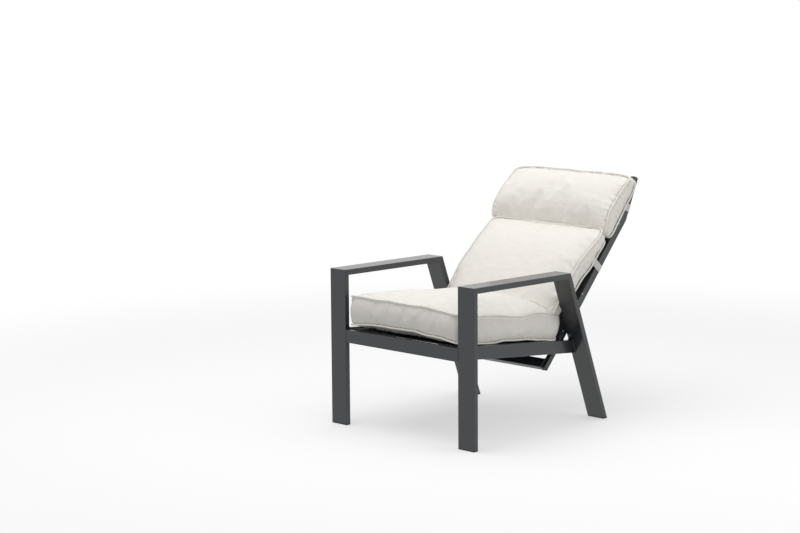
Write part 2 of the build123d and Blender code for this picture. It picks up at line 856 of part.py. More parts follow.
seat_pad_middle = (seat_pad_rear - seat_pad_front) / 2
seat_pad_rest = sling_thickness / 2 + pad_rest_gap - groove_drop
seat_pad_plane = pad_plane(seat_point(seat_pad_middle, seat_pad_rest), seat_heading)
save(
    pad(
        seat_pad_plane, seat_pad_width, seat_pad_rear + seat_pad_front, seat_pad_belly,
        seat_pad_border, seat_pad_crown, seat_pad_corner, seat_pad_draw, seat_pad_lean,
    ),
    "seat_cushion",
)

lower_pad_length = lower_pad_end - lower_pad_start
lower_heading = direction(recline_angle - lower_pad_tilt)
lower_pad_foot = back_point(lower_pad_start, channel_out + lower_pad_standoff)
lower_pad_point = lower_pad_foot + lower_pad_length / 2 * lower_heading
save(
    pad(
        pad_plane(lower_pad_point, lower_heading), lower_pad_width, lower_pad_length,
        lower_pad_belly, lower_pad_border, lower_pad_crown, back_pad_corner, back_pad_draw, 0,
    ),
    "lower_back_cushion",
)

head_pad_heading = direction(head_angle - head_pad_tilt)
head_pad_foot = head_point(-head_pad_station, head_pad_standoff)
head_pad_point = head_pad_foot + head_pad_length / 2 * head_pad_heading
save(
    pad(
        pad_plane(head_pad_point, head_pad_heading), head_pad_width, head_pad_length,
        head_pad_belly, head_pad_border, head_pad_crown, back_pad_corner, back_pad_draw, 0,
    ),
    "head_cushion",
)


# Straps from the rear seams of the back cushions, round the back rails.
def strap(point, heading, reach):
    inner_half = back_rail_outer + face_clearance
    inner_depth = back_half + face_clearance
    outer_half = inner_half + strap_thickness
    outer_depth = inner_depth + strap_thickness
    arm_x = inner_half + strap_thickness / 2
    with BuildPart() as band:
        with BuildSketch(section_plane(point - strap_width / 2 * heading, heading)):
            RectangleRounded(2 * outer_half, 2 * outer_depth, strap_corner + strap_thickness)
            RectangleRounded(2 * inner_half, 2 * inner_depth, strap_corner, mode=Mode.SUBTRACT)
            Rectangle(2 * outer_half, outer_depth, align=(Align.CENTER, Align.MIN), mode=Mode.SUBTRACT)
            with Locations((arm_x, reach / 2), (-arm_x, reach / 2)):
                Rectangle(strap_thickness, reach)
        extrude(amount=strap_width, dir=heading)
    return band.part


save(strap(back_point(strap_station, 0), back_heading, strap_reach), "lower_strap")
save(strap(head_point(head_strap_station, 0), head_heading, head_strap_reach), "upper_strap")
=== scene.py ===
import math

import bpy
import numpy as np
from mathutils import Matrix, Vector, kdtree, noise
from mathutils.bvhtree import BVHTree


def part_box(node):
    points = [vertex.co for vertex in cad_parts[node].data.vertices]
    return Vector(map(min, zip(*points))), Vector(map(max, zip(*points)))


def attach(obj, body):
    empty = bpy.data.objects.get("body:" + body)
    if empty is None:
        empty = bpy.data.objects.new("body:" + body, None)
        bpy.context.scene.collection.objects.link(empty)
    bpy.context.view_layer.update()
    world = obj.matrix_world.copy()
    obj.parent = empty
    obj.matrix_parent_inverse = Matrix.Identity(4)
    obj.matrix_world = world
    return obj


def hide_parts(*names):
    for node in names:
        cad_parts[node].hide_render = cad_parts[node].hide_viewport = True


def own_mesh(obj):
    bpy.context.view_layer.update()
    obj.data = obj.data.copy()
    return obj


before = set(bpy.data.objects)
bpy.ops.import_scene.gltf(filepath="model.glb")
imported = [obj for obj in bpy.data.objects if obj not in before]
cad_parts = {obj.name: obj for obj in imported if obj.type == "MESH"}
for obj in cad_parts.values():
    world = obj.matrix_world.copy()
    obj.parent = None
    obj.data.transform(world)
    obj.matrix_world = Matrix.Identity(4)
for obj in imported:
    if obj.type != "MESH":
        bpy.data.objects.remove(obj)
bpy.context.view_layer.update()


# The studio: a camera at the photographer's place, a pale floor that keeps the shadow,
# and a white surround with one broad soft light above and one beside.
camera_place = (5.6895, -6.4194, 1.9220)
camera_azimuth = math.radians(44.03)
camera_elevation = math.radians(8.81)
camera_roll = math.radians(-0.43)
camera_lens = 99.63
camera_far = 100


def aim(azimuth, elevation, roll):
    right = Vector((math.cos(azimuth), math.sin(azimuth), 0))
    back = Vector((
        math.sin(azimuth) * math.cos(elevation),
        -math.cos(azimuth) * math.cos(elevation),
        math.sin(elevation),
    ))
    over = back.cross(right)
    rolled_right = math.cos(roll) * right + math.sin(roll) * over
    rolled_over = math.cos(roll) * over - math.sin(roll) * right
    return Matrix((rolled_right, rolled_over, back)).transposed()


camera = bpy.data.objects.new("camera", bpy.data.cameras.new("camera"))
camera.data.lens = camera_lens
camera.data.clip_end = camera_far
camera.matrix_world = (
    Matrix.Translation(camera_place)
    @ aim(camera_azimuth, camera_elevation, camera_roll).to_4x4()
)
bpy.context.scene.collection.objects.link(camera)
bpy.context.scene.camera = camera
bpy.context.scene.view_settings.view_transform = "Standard"


class Signal:
    """A socket of a node tree. Arithmetic on it adds the Math nodes."""

    def __init__(self, recipe, socket):
        self.recipe = recipe
        self.socket = socket

    def other(self, name):
        return Signal(self.recipe, self.socket.node.outputs[name])

    def maths(self, operation, *values):
        return self.recipe.node("ShaderNodeMath", {"operation": operation}, dict(enumerate(values)))

    def __add__(self, value):
        return self.maths("ADD", self, value)

    def __sub__(self, value):
        return self.maths("SUBTRACT", self, value)

    def __rsub__(self, value):
        return self.maths("SUBTRACT", value, self)

    def __mul__(self, value):
        return self.maths("MULTIPLY", self, value)

    def __truediv__(self, value):
        return self.maths("DIVIDE", self, value)

    __radd__ = __add__
    __rmul__ = __mul__

    def at_least(self, value):
        return self.maths("MAXIMUM", self, value)

    def fraction(self):
        return self.maths("FRACT", self)

    def whole(self):
        return self.maths("FLOOR", self)

    def sine(self):
        return self.maths("SINE", self)

    def over(self, value):
        return self.maths("GREATER_THAN", self, value)


class Recipe:
    """The nodes of one finish, or of one part that geometry nodes repeat."""

    def __init__(self, tree):
        self.tree = tree
        tree.nodes.clear()

    def node(self, kind, settings=None, values=None, output=0):
        node = self.tree.nodes.new(kind)
        for name, setting in (settings or {}).items():
            if name == "captured":
                node.capture_items.new("FLOAT", setting)
            else:
                setattr(node, name, setting)
        for name, value in (values or {}).items():
            socket = node.inputs[name]
            if isinstance(value, Signal):
                self.tree.links.new(value.socket, socket)
            else:
                socket.default_value = value
        return Signal(self, node.outputs[output]) if node.outputs else node

    def mixed(self, share, first, second):
        """A blend of two colours, which go into the Mix node's sockets 6 and 7."""
        return self.node("ShaderNodeMix", {"data_type": "RGBA"}, {0: share, 6: first, 7: second}, output=2)

    def mottle(self, place, scale, detail, stretch=None):
        """A noise on the coordinates, drawn out where a stretch is given."""
        if stretch:
            place = self.node("ShaderNodeVectorMath", {"operation": "MULTIPLY"}, {0: place, 1: stretch})
        return self.node("ShaderNodeTexNoise", {}, {"Vector": place, "Scale": scale, "Detail": detail})

    def relief(self, height, strength, distance):
        return self.node("ShaderNodeBump", {}, {"Height": height, "Strength": strength, "Distance": distance})

    def surface(self, values):
        shader = self.node("ShaderNodeBsdfPrincipled", {}, values)
        self.node("ShaderNodeOutputMaterial", {}, {"Surface": shader})


def paint(red, green, blue):
    """A colour as a paint chart gives it, from 0 to 255, for a node."""
    shares = [value / 255 for value in (red, green, blue)]
    linear = [s / 12.92 if s <= 0.04045 else ((s + 0.055) / 1.055) ** 2.4 for s in shares]
    return (*linear, 1)


def new_finish(name):
    material = bpy.data.materials.new(name)
    material.use_nodes = True
    return material, Recipe(material.node_tree)


floor_half = 9
floor_height = -0.0006
floor_seen = paint(249, 249, 250)
floor_bounce = paint(186, 187, 188)
floor_fade_start = 1.7
floor_fade_end = 3.6
floor_seen_glow = 0.5
floor_mirrored_glow = 0.85
white = (1, 1, 1, 1)

floor_mesh = bpy.data.meshes.new("floor")
floor_mesh.from_pydata(
    [(floor_half * x, floor_half * y, floor_height) for x, y in ((-1, -1), (1, -1), (1, 1), (-1, 1))],
    [],
    [(0, 1, 2, 3)],
)
floor = bpy.data.objects.new("floor", floor_mesh)
bpy.context.scene.collection.objects.link(floor)
floor_finish, recipe = new_finish("pale_floor")
light_path = recipe.node("ShaderNodeLightPath", output="Is Camera Ray")
floor_place = recipe.node("ShaderNodeTexCoord", output="Object")
floor_radius = recipe.node("ShaderNodeVectorMath", {"operation": "LENGTH"}, {0: floor_place}, output="Value")
floor_fade = recipe.node(
    "ShaderNodeMapRange",
    {"interpolation_type": "SMOOTHSTEP"},
    {"Value": floor_radius, "From Min": floor_fade_start, "From Max": floor_fade_end},
)
floor_colour = recipe.mixed(light_path, floor_bounce, floor_seen)
floor_lit = recipe.node("ShaderNodeBsdfDiffuse", {}, {"Color": floor_colour})
floor_glow = recipe.node("ShaderNodeEmission", {}, {"Color": white, "Strength": 1.0})
floor_whiteness = light_path * floor_seen_glow + light_path.other("Is Glossy Ray") * floor_mirrored_glow
floor_lit = recipe.node("ShaderNodeMixShader", {}, {0: floor_whiteness, 1: floor_lit, 2: floor_glow})
floor_clear = recipe.node("ShaderNodeBsdfTransparent")
floor_fade = floor_fade * light_path
floor_faded = recipe.node("ShaderNodeMixShader", {}, {0: floor_fade, 1: floor_lit, 2: floor_clear})
recipe.node("ShaderNodeOutputMaterial", {}, {"Surface": floor_faded})
floor_mesh.materials.append(floor_finish)

surround = bpy.data.worlds.new("surround")
surround.use_nodes = True
bpy.context.scene.world = surround
recipe = Recipe(surround.node_tree)
light_path = recipe.node("ShaderNodeLightPath", output="Is Camera Ray")
mirrored = light_path.other("Is Glossy Ray")
seen_white = light_path.at_least(mirrored).at_least(light_path.other("Is Transmission Ray"))
surround_strength = 0.57
surround_light = recipe.node("ShaderNodeBackground", {}, {"Color": white, "Strength": surround_strength})
surround_white = recipe.node("ShaderNodeBackground", {}, {"Color": white, "Strength": 1})
surround_seen = recipe.node("ShaderNodeMixShader", {}, {0: seen_white, 1: surround_light, 2: surround_white})
recipe.node("ShaderNodeOutputWorld", {}, {"Surface": surround_seen})


def softbox(name, place, target, side, power):
    lamp = bpy.data.lights.new(name, "AREA")
    lamp.shape = "SQUARE"
    lamp.size = side
    lamp.energy = power
    holder = bpy.data.objects.new(name, lamp)
    holder.location = place
    holder.rotation_euler = (Vector(target) - Vector(place)).to_track_quat("-Z", "Y").to_euler()
    bpy.context.scene.collection.objects.link(holder)


chair_middle = (0, 0, 0.45)
overhead_place, overhead_side, overhead_power = (-0.5, -0.6, 3.4), 3.2, 65
beside_place, beside_side, beside_power = (3.4, 0.9, 1.9), 2.2, 29
softbox("overhead_light", overhead_place, chair_middle, overhead_side, overhead_power)
softbox("side_light", beside_place, chair_middle, beside_side, beside_power)


# Side frames, seat frame and back frame: extruded aluminium tube, sawn to its mitres,
# welded, ground flush and powder coated in a matt anthracite with a fine orange peel.
coat_colours = paint(31, 34, 37), paint(41, 44, 48)
coat_roughness = 0.26, 0.38
orange_peel = 900, 2.0, 0.3, 0.4
coat_cloud = 7, 4.0, 0.7, 0.6
orange_peel_relief = 0.5, 0.00006
coat_gloss = {"IOR": 1.5, "Coat Weight": 0.4, "Coat Roughness": 0.16}


def between(values, share):
    start, end = values
    return start + share * (end - start)


def summed(parts, shares):
    return sum(part * share for part, share in zip(parts, shares))


def flecked(name, colours, roughness, flecks, relief=None, more=None, stretch=None):
    """A finish whose colour and roughness waver between two values each.

    A fleck is a noise: its scale, its detail, and its shares in the colour and the roughness.
    The first one can be stretched and makes the relief, given by its strength and depth.
    """
    material, recipe = new_finish(name)
    place = recipe.node("ShaderNodeTexCoord", output="Object")
    scales, details, colour_shares, roughness_shares = zip(*flecks)
    stretches = [stretch] + [None] * len(flecks)
    mottles = [recipe.mottle(place, *grain) for grain in zip(scales, details, stretches)]
    values = {
        "Base Color": recipe.mixed(summed(mottles, colour_shares), *colours),
        "Roughness": between(roughness, summed(mottles, roughness_shares)),
    }
    if relief:
        values["Normal"] = recipe.relief(mottles[0], *relief)
    recipe.surface({**values, **(more or {})})
    return material


def dress(finish, *names):
    for name in names:
        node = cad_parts[name]
        node.data.materials.clear()
        node.data.materials.append(finish)


def pair(name):
    return name + "_left", name + "_right"


coat_flecks = orange_peel, coat_cloud
anthracite = flecked(
    "anthracite_powder_coat", coat_colours, coat_roughness, coat_flecks, orange_peel_relief, coat_gloss
)
dress(anthracite, *pair("front_leg"), *pair("armrest"), *pair("rear_leg"), *pair("seat_rail"))
dress(anthracite, "front_rail", "seat_cross_rail", *pair("back_rail"), *pair("back_channel"))
dress(anthracite, "back_bottom_bar", "back_middle_bar", "back_top_bar")


# Weld beads: one even run of filler metal round the end of each tube where it meets the
# next one, laid before coating, so the bead is anthracite too.
seat_slope = math.radians(5.6)
recline_angle = math.radians(48)
head_angle = math.radians(65)


def run_direction(angle):
    return Vector((0, math.cos(angle), math.sin(angle)))


def face_direction(angle):
    return Vector((0, -math.sin(angle), math.cos(angle)))


bead_radius = 0.0021
bead_step = 0.0011
bead_ripple = 0.22
bead_sides = 8
bead_waver_noise = 420, 1.0


def linked(name, mesh):
    piece = bpy.data.objects.new(name, mesh)
    bpy.context.scene.collection.objects.link(piece)
    return piece


def wire_mesh(name, loops, closed=True):
    mesh = bpy.data.meshes.new(name)
    points, edges = [], []
    for loop in loops:
        first = len(points)
        points += [tuple(p) for p in loop]
        edges += [(first + i, first + i + 1) for i in range(len(loop) - 1)]
        if closed:
            edges.append((first + len(loop) - 1, first))
    mesh.from_pydata(points, edges, [])
    return mesh


def start_tree(name, **inputs):
    """A tree with inputs for its sizes and its finish."""
    tree = bpy.data.node_groups.new(name, "GeometryNodeTree")
    tree.interface.new_socket("Geometry", in_out="INPUT", socket_type="NodeSocketGeometry")
    for label, kind in {**inputs, "Finish": "Material"}.items():
        tree.interface.new_socket(label, in_out="INPUT", socket_type="NodeSocket" + kind)
    tree.interface.new_socket("Geometry", in_out="OUTPUT", socket_type="NodeSocketGeometry")
    recipe = Recipe(tree)
    return tree, recipe, recipe.node("NodeGroupInput")


def end_tree(recipe, group, geometry):
    solid = recipe.node("GeometryNodeRealizeInstances", {}, {"Geometry": geometry})
    finish = group.other("Finish")
    dressed = recipe.node("GeometryNodeSetMaterial", {}, {"Geometry": solid, "Material": finish})
    recipe.node("NodeGroupOutput", {}, {"Geometry": dressed})


def changed(mesh, kind, settings, inputs=()):
    """The mesh after one modifier of the kind."""
    piece = linked("changing", mesh)
    modifier = piece.modifiers.new("change", kind)
    for name, setting in settings.items():
        setattr(modifier, name, setting)
    for socket, value in inputs:
        modifier[socket] = value
    result = bpy.data.meshes.new_from_object(piece.evaluated_get(bpy.context.evaluated_depsgraph_get()))
    bpy.data.objects.remove(piece)
    return result


def grown(name, mesh, tree, finish, **sizes):
    """A plain mesh object made by running the tree on the mesh."""
    sockets = {s.name: s.identifier for s in tree.interface.items_tree if s.in_out == "INPUT"}
    inputs = [(sockets[label], value) for label, value in {**sizes, "Finish": finish}.items()]
    return linked(name, changed(mesh, "NODES", {"node_group": tree}, inputs))


def smooth(piece):
    for face in piece.data.polygons:
        face.use_smooth = True


def even_path(recipe, group):
    """The tree's mesh as a curve, with its points a step apart."""
    path = recipe.node("GeometryNodeMeshToCurve", {}, {"Mesh": group})
    return recipe.node(
        "GeometryNodeResampleCurve", {"mode": "LENGTH"}, {"Curve": path, "Length": group.other("Step")}
    )


def round_profile(recipe, group):
    sizes = {"Resolution": group.other("Sides"), "Radius": group.other("Radius")}
    return recipe.node("GeometryNodeCurvePrimitiveCircle", {}, sizes)


bead_tree, recipe, group = start_tree("weld_bead", Radius="Float", Step="Float", Ripple="Float", Sides="Int")
bead_place = recipe.node("GeometryNodeInputPosition")
bead_waver = recipe.mottle(bead_place, *bead_waver_noise)
bead_swell = 1 + (bead_waver - 0.5) * group.other("Ripple") * 2
bead_path = even_path(recipe, group)
bead_path = recipe.node("GeometryNodeSetCurveRadius", {}, {"Curve": bead_path, "Radius": bead_swell})
bead_solid = recipe.node(
    "GeometryNodeCurveToMesh", {}, {"Curve": bead_path, "Profile Curve": round_profile(recipe, group)}
)
end_tree(recipe, group, bead_solid)


face_depth = 0.0004


def end_ring(name, side, axis, slope):
    """The outline of a tube's end face, where it meets the tube that it is welded to."""
    points = np.array([v.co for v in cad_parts[name].data.vertices])
    reach = points @ np.array(axis, float) * side
    face = points[reach > reach.max() - face_depth]
    over = np.array(face_direction(slope))
    across = np.cross(np.array(axis, float), over)
    middle = (face.max(axis=0) + face.min(axis=0)) / 2
    u, v = (face - middle) @ across, (face - middle) @ over
    return [
        middle + (u.max() if i > 0 else u.min()) * across + (v.max() if j > 0 else v.min()) * over
        for i, j in ((-1, -1), (1, -1), (1, 1), (-1, 1))
    ]


rear_leg_spread, rear_leg_height = 0.227, 0.601
rear_leg_lean = math.atan2(rear_leg_spread, rear_leg_height)
frame_rings, back_rings = [], []
for name in pair("seat_rail"):
    frame_rings.append(end_ring(name, -1, (0, 1, 0), 0))
    frame_rings.append(end_ring(name, 1, run_direction(rear_leg_lean), rear_leg_lean))
for side in (-1, 1):
    frame_rings.append(end_ring("front_rail", side, (1, 0, 0), 0))
    frame_rings.append(end_ring("seat_cross_rail", side, (1, 0, 0), -seat_slope))
    for bar in ("back_bottom_bar", "back_middle_bar"):
        back_rings.append(end_ring(bar, side, (1, 0, 0), recline_angle))
    back_rings.append(end_ring("back_top_bar", side, (1, 0, 0), head_angle))
for name, rings, body in (
    ("frame_weld_beads", frame_rings, "frame"),
    ("back_weld_beads", back_rings, "backrest"),
):
    beads = grown(
        name, wire_mesh(name, rings), bead_tree, anthracite,
        Radius=bead_radius, Step=bead_step, Ripple=bead_ripple, Sides=bead_sides,
    )
    smooth(beads)
    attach(beads, body)


# Feet, tube caps, bushes and spline cord: moulded or extruded black nylon with a fine
# spark grain. The feet and caps are pushed into the tubes.
nylon_colours = paint(24, 25, 26), paint(37, 38, 39)
nylon_roughness = 0.42, 0.67
nylon_grain = 2600, 3.0, 0.5, 0
nylon_scuffs = 60, 5.0, 0.5, 1
nylon_relief = 0.4, 0.00005
black_nylon = flecked(
    "black_nylon", nylon_colours, nylon_roughness, (nylon_grain, nylon_scuffs), nylon_relief
)
dress(black_nylon, *pair("front_foot"), *pair("rear_foot"), *pair("pivot_bush"), "pivot_spacers")
dress(black_nylon, *pair("back_rail_top_cap"), *pair("back_rail_bottom_cap"), "release_shaft_bushes")
dress(black_nylon, "seat_sling_splines", "back_sling_splines")


# Seat and back slings: one layer of coated polyester mesh, cut to width, with a hem
# sewn round a spline cord at each side and a folded hem at each end, then slid into grooves.
def grid_faces(rows, columns):
    """The quads of a grid whose points lie row by row."""
    return [
        (j * columns + i, j * columns + i + 1, (j + 1) * columns + i + 1, (j + 1) * columns + i)
        for j in range(rows - 1)
        for i in range(columns - 1)
    ]


def cloth_mesh(name, points, faces, chart):
    """A mesh with cloth coordinates in metres, given for the corners of one face after another."""
    mesh = bpy.data.meshes.new(name)
    mesh.from_pydata([tuple(p) for p in points], [], faces)
    layer = mesh.uv_layers.new(name="cloth")
    for corner, spot in zip(layer.data, chart):
        corner.uv = spot
    return mesh


def panel_mesh(name, points, columns, coordinates, finish):
    """A sheet of quads from rows of points, with its cloth coordinates in metres."""
    faces = grid_faces(len(points) // columns, columns)
    mesh = cloth_mesh(name, points, faces, [coordinates[k] for face in faces for k in face])
    mesh.materials.append(finish)
    return mesh


def weave(recipe, pitch_across, pitch_along, wander=0.0):
    """The cloth's own coordinates, where the weft lies on top, and the height of a plain weave."""
    chart = recipe.node("ShaderNodeUVMap", {"uv_map": "cloth"})
    parts = recipe.node("ShaderNodeSeparateXYZ", {}, {0: chart})
    across, along = parts / pitch_across, parts.other("Y") / pitch_along
    if wander:
        drift = recipe.mottle(chart, *yarn_drift)
        across = across + (drift - 0.5) * wander
        along = along + (drift.other("Color") - 0.5) * wander
    turn = (across.whole() + along.whole()) * 0.5
    weft_up = (turn.fraction() * 2).over(0.5)
    warp = (across.fraction() * math.pi).sine()
    weft = (along.fraction() * math.pi).sine()
    return chart, weft_up, weft * weft_up + warp * (1 - weft_up)


yarn_drift = 90, 2.0
mesh_yarn_dark = paint(30, 31, 33)
mesh_yarn_light = paint(66, 68, 71)
mesh_pitch = 0.0013
mesh_pitch_along = 0.8 * mesh_pitch
mesh_speckle = 700, 2.0
# Shares of the weave's height, the speckle and the weft: the height share paints shade into the hollows
# between the yarns.
mesh_painted_shade_and_tone_shares = 0.6, 0.25, 0.15
mesh_roughness = 0.62, 0.5
mesh_relief = 0.8, 0.0003


def sling_cloth(name):
    material, recipe = new_finish(name)
    chart, weft_up, height = weave(recipe, mesh_pitch, mesh_pitch_along)
    # Lighter on the yarns' crests and darker in the hollows between them, which is painted shade, over the
    # speckle and weft of the yarn's own tone.
    tone_and_painted_shade = summed((height, recipe.mottle(chart, *mesh_speckle), weft_up), mesh_painted_shade_and_tone_shares)
    recipe.surface({
        "Base Color": recipe.mixed(tone_and_painted_shade, mesh_yarn_dark, mesh_yarn_light),
        "Roughness": between(mesh_roughness, height),
        "Normal": recipe.relief(height, *mesh_relief),
    })
    return material


sling_finish = sling_cloth("sling_mesh_cloth")
spline_wrap_radius = 0.0024
spline_wrap_steps = 10
wrap_gap = 0.35
wrap_fit = 0.0004
sling_steps = 40
sling_thickness = 0.0011
sag_along_power = 0.5
sag_across_power = 1.2


def sling_profile(half_span):
    """Across the sling: round one spline, over to the other, and round that one."""
    left = [
        (spline_wrap_radius * math.cos(turn) - half_span, spline_wrap_radius * math.sin(turn))
        for turn in np.linspace(2 * math.pi - wrap_gap, 0, spline_wrap_steps).tolist()
    ]
    shares = np.linspace(-1, 1, sling_steps).tolist()
    flat = [(share * (half_span - spline_wrap_radius - wrap_fit), 0) for share in shares]
    right = [(-x, z) for x, z in reversed(left)]
    return left + flat + right


stitch_pitch = 0.0032
stitch_length = 0.0024
stitch_radius = 0.00035
hem_depth = 0.024
hem_steps = 4
hem_drop = 0.0012
hem_seams = 0.8, 0.92
mark_segments, mark_rings = 6, 4
thread_roughness = 0.5, 0.7
thread_twist = 1500, 1.0, 1, 1

marks_tree, recipe, group = start_tree(
    "marks_along_a_line", Step="Float", Length="Float", Width="Float", Height="Float", Up="Vector"
)
heading = recipe.node("GeometryNodeInputTangent")
turned = recipe.node("FunctionNodeAlignRotationToVector", {"axis": "X"}, {"Vector": heading})
turned = recipe.node(
    "FunctionNodeAlignRotationToVector",
    {"axis": "Z", "pivot_axis": "X"},
    {"Rotation": turned, "Vector": group.other("Up")},
)
halves = {k: group.other(label) / 2 for k, label in enumerate(("Length", "Width", "Height"))}
half_size = recipe.node("ShaderNodeCombineXYZ", {}, halves)
mark_sizes = {"Segments": mark_segments, "Rings": mark_rings, "Radius": 1.0}
mark = recipe.node("GeometryNodeMeshUVSphere", {}, mark_sizes)
marks = recipe.node(
    "GeometryNodeInstanceOnPoints",
    {},
    {"Points": even_path(recipe, group), "Instance": mark, "Rotation": turned, "Scale": half_size},
)
end_tree(recipe, group, marks)
dark_thread = flecked(
    "dark_thread", (mesh_yarn_dark, mesh_yarn_light), thread_roughness, (thread_twist,)
)


def marked(name, lines, step, size, up, finish):
    """A row of small rounded marks along each line, from their length, width and height."""
    sizes = dict(zip(("Length", "Width", "Height"), size))
    return grown(name, wire_mesh(name, lines, closed=False), marks_tree, finish, Step=step, Up=up, **sizes)


def stitches(name, lines, finish):
    size = stitch_length, 2 * stitch_radius, 2 * stitch_radius
    return marked(name, lines, stitch_pitch, size, (0.0, 0.0, 1.0), finish)


def joined(name, pieces):
    """One object from several, which is left at the origin."""
    with bpy.context.temp_override(active_object=pieces[0], selected_editable_objects=pieces):
        bpy.ops.object.join()
    pieces[0].name = name
    pieces[0].data.name = name
    smooth(pieces[0])
    return pieces[0]


def thickened(name, mesh, thickness):
    """The sheet as an object with a thickness of its own, half of it on each side."""
    return linked(name, changed(mesh, "SOLIDIFY", {"thickness": thickness, "offset": 0}))


def sling(name, node, path, half_span, sag, body):
    """path lists the sling's middle line with the direction that it faces at each point."""
    profile = sling_profile(half_span)
    runs = [0] + np.cumsum([(b[0] - a[0]).length for a, b in zip(path, path[1:])]).tolist()

    def laid(run, x, lift):
        k = min(max(0, int(np.searchsorted(runs, run, side="right")) - 1), len(runs) - 2)
        middle = path[k][0].lerp(path[k + 1][0], (run - runs[k]) / (runs[k + 1] - runs[k]))
        slack = max(0, math.sin(math.pi * min(1, max(0, run / runs[-1])))) ** sag_along_power
        drop = sag * slack * max(0, 1 - (x / half_span) ** 2) ** sag_across_power
        return Vector((x, middle.y, middle.z)) + (lift - drop) * path[k][1]

    widths = [0] + np.cumsum([math.dist(a, b) for a, b in zip(profile, profile[1:])]).tolist()
    points = [laid(run, x, z) for run in runs for x, z in profile]
    coordinates = [(width, run) for run in runs for width in widths]
    cloth = panel_mesh(name, points, len(profile), coordinates, sling_finish)
    layers = [thickened(name, cloth, sling_thickness)]
    flat_profile = [x for x, z in profile[spline_wrap_steps:-spline_wrap_steps]]
    for first in (0, runs[-1] - hem_depth):
        rows = [first + hem_depth * i / hem_steps for i in range(hem_steps + 1)]
        points = [laid(run, x, -hem_drop) for run in rows for x in flat_profile]
        coordinates = [(x, run) for run in rows for x in flat_profile]
        hem = panel_mesh("hem", points, len(flat_profile), coordinates, sling_finish)
        layers.append(thickened("hem", hem, sling_thickness))
    over = sling_thickness / 2
    seam_runs = [hem_depth * share for share in hem_seams]
    seam_runs += [runs[-1] - run for run in reversed(seam_runs)]
    seams = [[laid(run, x, over) for x in flat_profile[1:-1]] for run in seam_runs]
    for side in (-1, 1):
        seams.append([laid(run, side * (half_span - hem_depth / 2), over) for run in runs])
    piece = joined(name, layers + [stitches("stitches", seams, dark_thread)])
    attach(piece, body)
    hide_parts(node)


def path_along(points, faces, steps):
    """Even points along straight runs, each with the direction that the run faces."""
    result = []
    for (start, end), face, count in zip(zip(points, points[1:]), faces, steps):
        result += [(start.lerp(end, i / count), face) for i in range(count)]
    return result + [(points[-1], faces[-1])]


seat_sling_low, seat_sling_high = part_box("seat_sling")
spline_diameter = 0.004
seat_sag = 0.008
end_clearance = 0.0004
long_steps = 44
seat_half_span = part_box("seat_sling_splines")[1].x - spline_diameter / 2
hem_radius = seat_sling_high.x - seat_half_span
seat_heading, seat_facing = run_direction(-seat_slope), face_direction(-seat_slope)
seat_sling_front = Vector((0, seat_sling_low.y, seat_sling_high.z)) - hem_radius * seat_facing
seat_sling_front.y += hem_radius * seat_facing.y
seat_sling_length = (seat_sling_high.y - seat_sling_low.y) / seat_heading.y - end_clearance
seat_sling_line = [seat_sling_front, seat_sling_front + seat_sling_length * seat_heading]
sling(
    "seat_sling_cloth", "seat_sling", path_along(seat_sling_line, [seat_facing], [long_steps]),
    seat_half_span, seat_sag, "frame",
)


def bent_line(node, half_depth):
    """Lower end, bend and upper end of the middle line of a piece that follows the back rails."""
    low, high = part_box(node)
    lower_run, upper_run = run_direction(recline_angle), run_direction(head_angle)
    start = Vector((0, low.y, low.z)) + half_depth * Vector((0, lower_run.z, lower_run.y))
    end = Vector((0, high.y, high.z)) - half_depth * Vector((0, upper_run.z, upper_run.y))
    gap = end - start
    turn = lower_run.y * upper_run.z - lower_run.z * upper_run.y
    reach = (gap.y * upper_run.z - gap.z * upper_run.y) / turn
    return start, start + reach * lower_run, end


back_half_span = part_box("back_sling_splines")[1].x - spline_diameter / 2
back_sling_line = bent_line("back_sling", hem_radius)
back_faces = [face_direction(recline_angle), face_direction(head_angle)]
back_sag = 0.006
short_steps = 14
sling(
    "back_sling_cloth", "back_sling", path_along(back_sling_line, back_faces, [long_steps, short_steps]),
    back_half_span, back_sag, "backrest",
)


# Seat cushion: a foam block in a sewn cover of ivory linen-look weave. The cover is two
# panels and a border, joined by two piped seams, and the foam swells each panel to a crown.
linen_dark = paint(216, 211, 202)
linen_light = paint(246, 243, 238)
linen_pitch = 0.0011
slub_length = 0.016
slub_width = 0.0009
yarn_wander = 1.6
linen_cloud = 24, 4.0
# Shares of the slubs, the cloud and the weave's height: the height share paints shade into the hollows
# between the yarns.
linen_painted_shade_and_tone_shares = 0.5, 0.2, 0.3
linen_relief_shares = 0.7, 0.6
linen_roughness = 0.9, 0.78
linen_relief = 0.45, 0.00035
linen_softness = {"Specular IOR Level": 0.2, "Sheen Weight": 0.2, "Sheen Roughness": 0.5}


def linen(name):
    material, recipe = new_finish(name)
    chart, weft_up, height = weave(recipe, linen_pitch, linen_pitch, yarn_wander)
    warp_slub, weft_slub = (
        recipe.mottle(chart, 1, 1.0, (1 / across, 1 / along, 1))
        for across, along in ((slub_width, slub_length), (slub_length, slub_width))
    )
    yarn = weft_slub * weft_up + warp_slub * (1 - weft_up)
    cloud = recipe.mottle(recipe.node("ShaderNodeTexCoord", output="Object"), *linen_cloud)
    # The slubs and the cloud are the linen's own tone. The weave's height adds painted shade, darker between
    # the yarns.
    tone_and_painted_shade = summed((yarn, cloud, height), linen_painted_shade_and_tone_shares)
    recipe.surface({
        "Base Color": recipe.mixed(tone_and_painted_shade, linen_dark, linen_light),
        "Roughness": between(linen_roughness, yarn),
        "Normal": recipe.relief(summed((height, yarn), linen_relief_shares), *linen_relief),
        **linen_softness,
    })
    return material


ivory_linen = linen("ivory_linen")
panel_cells = 64
border_cells = 10
crowding = 0.72
corner_power = 22
crown_power = 2.6
crown_fullness = 0.62
side_draw = 0.004
border_roundness = 0.9
seam_waver = 0.0045
seam_waver_length = 0.075
seam_waver_change = 99


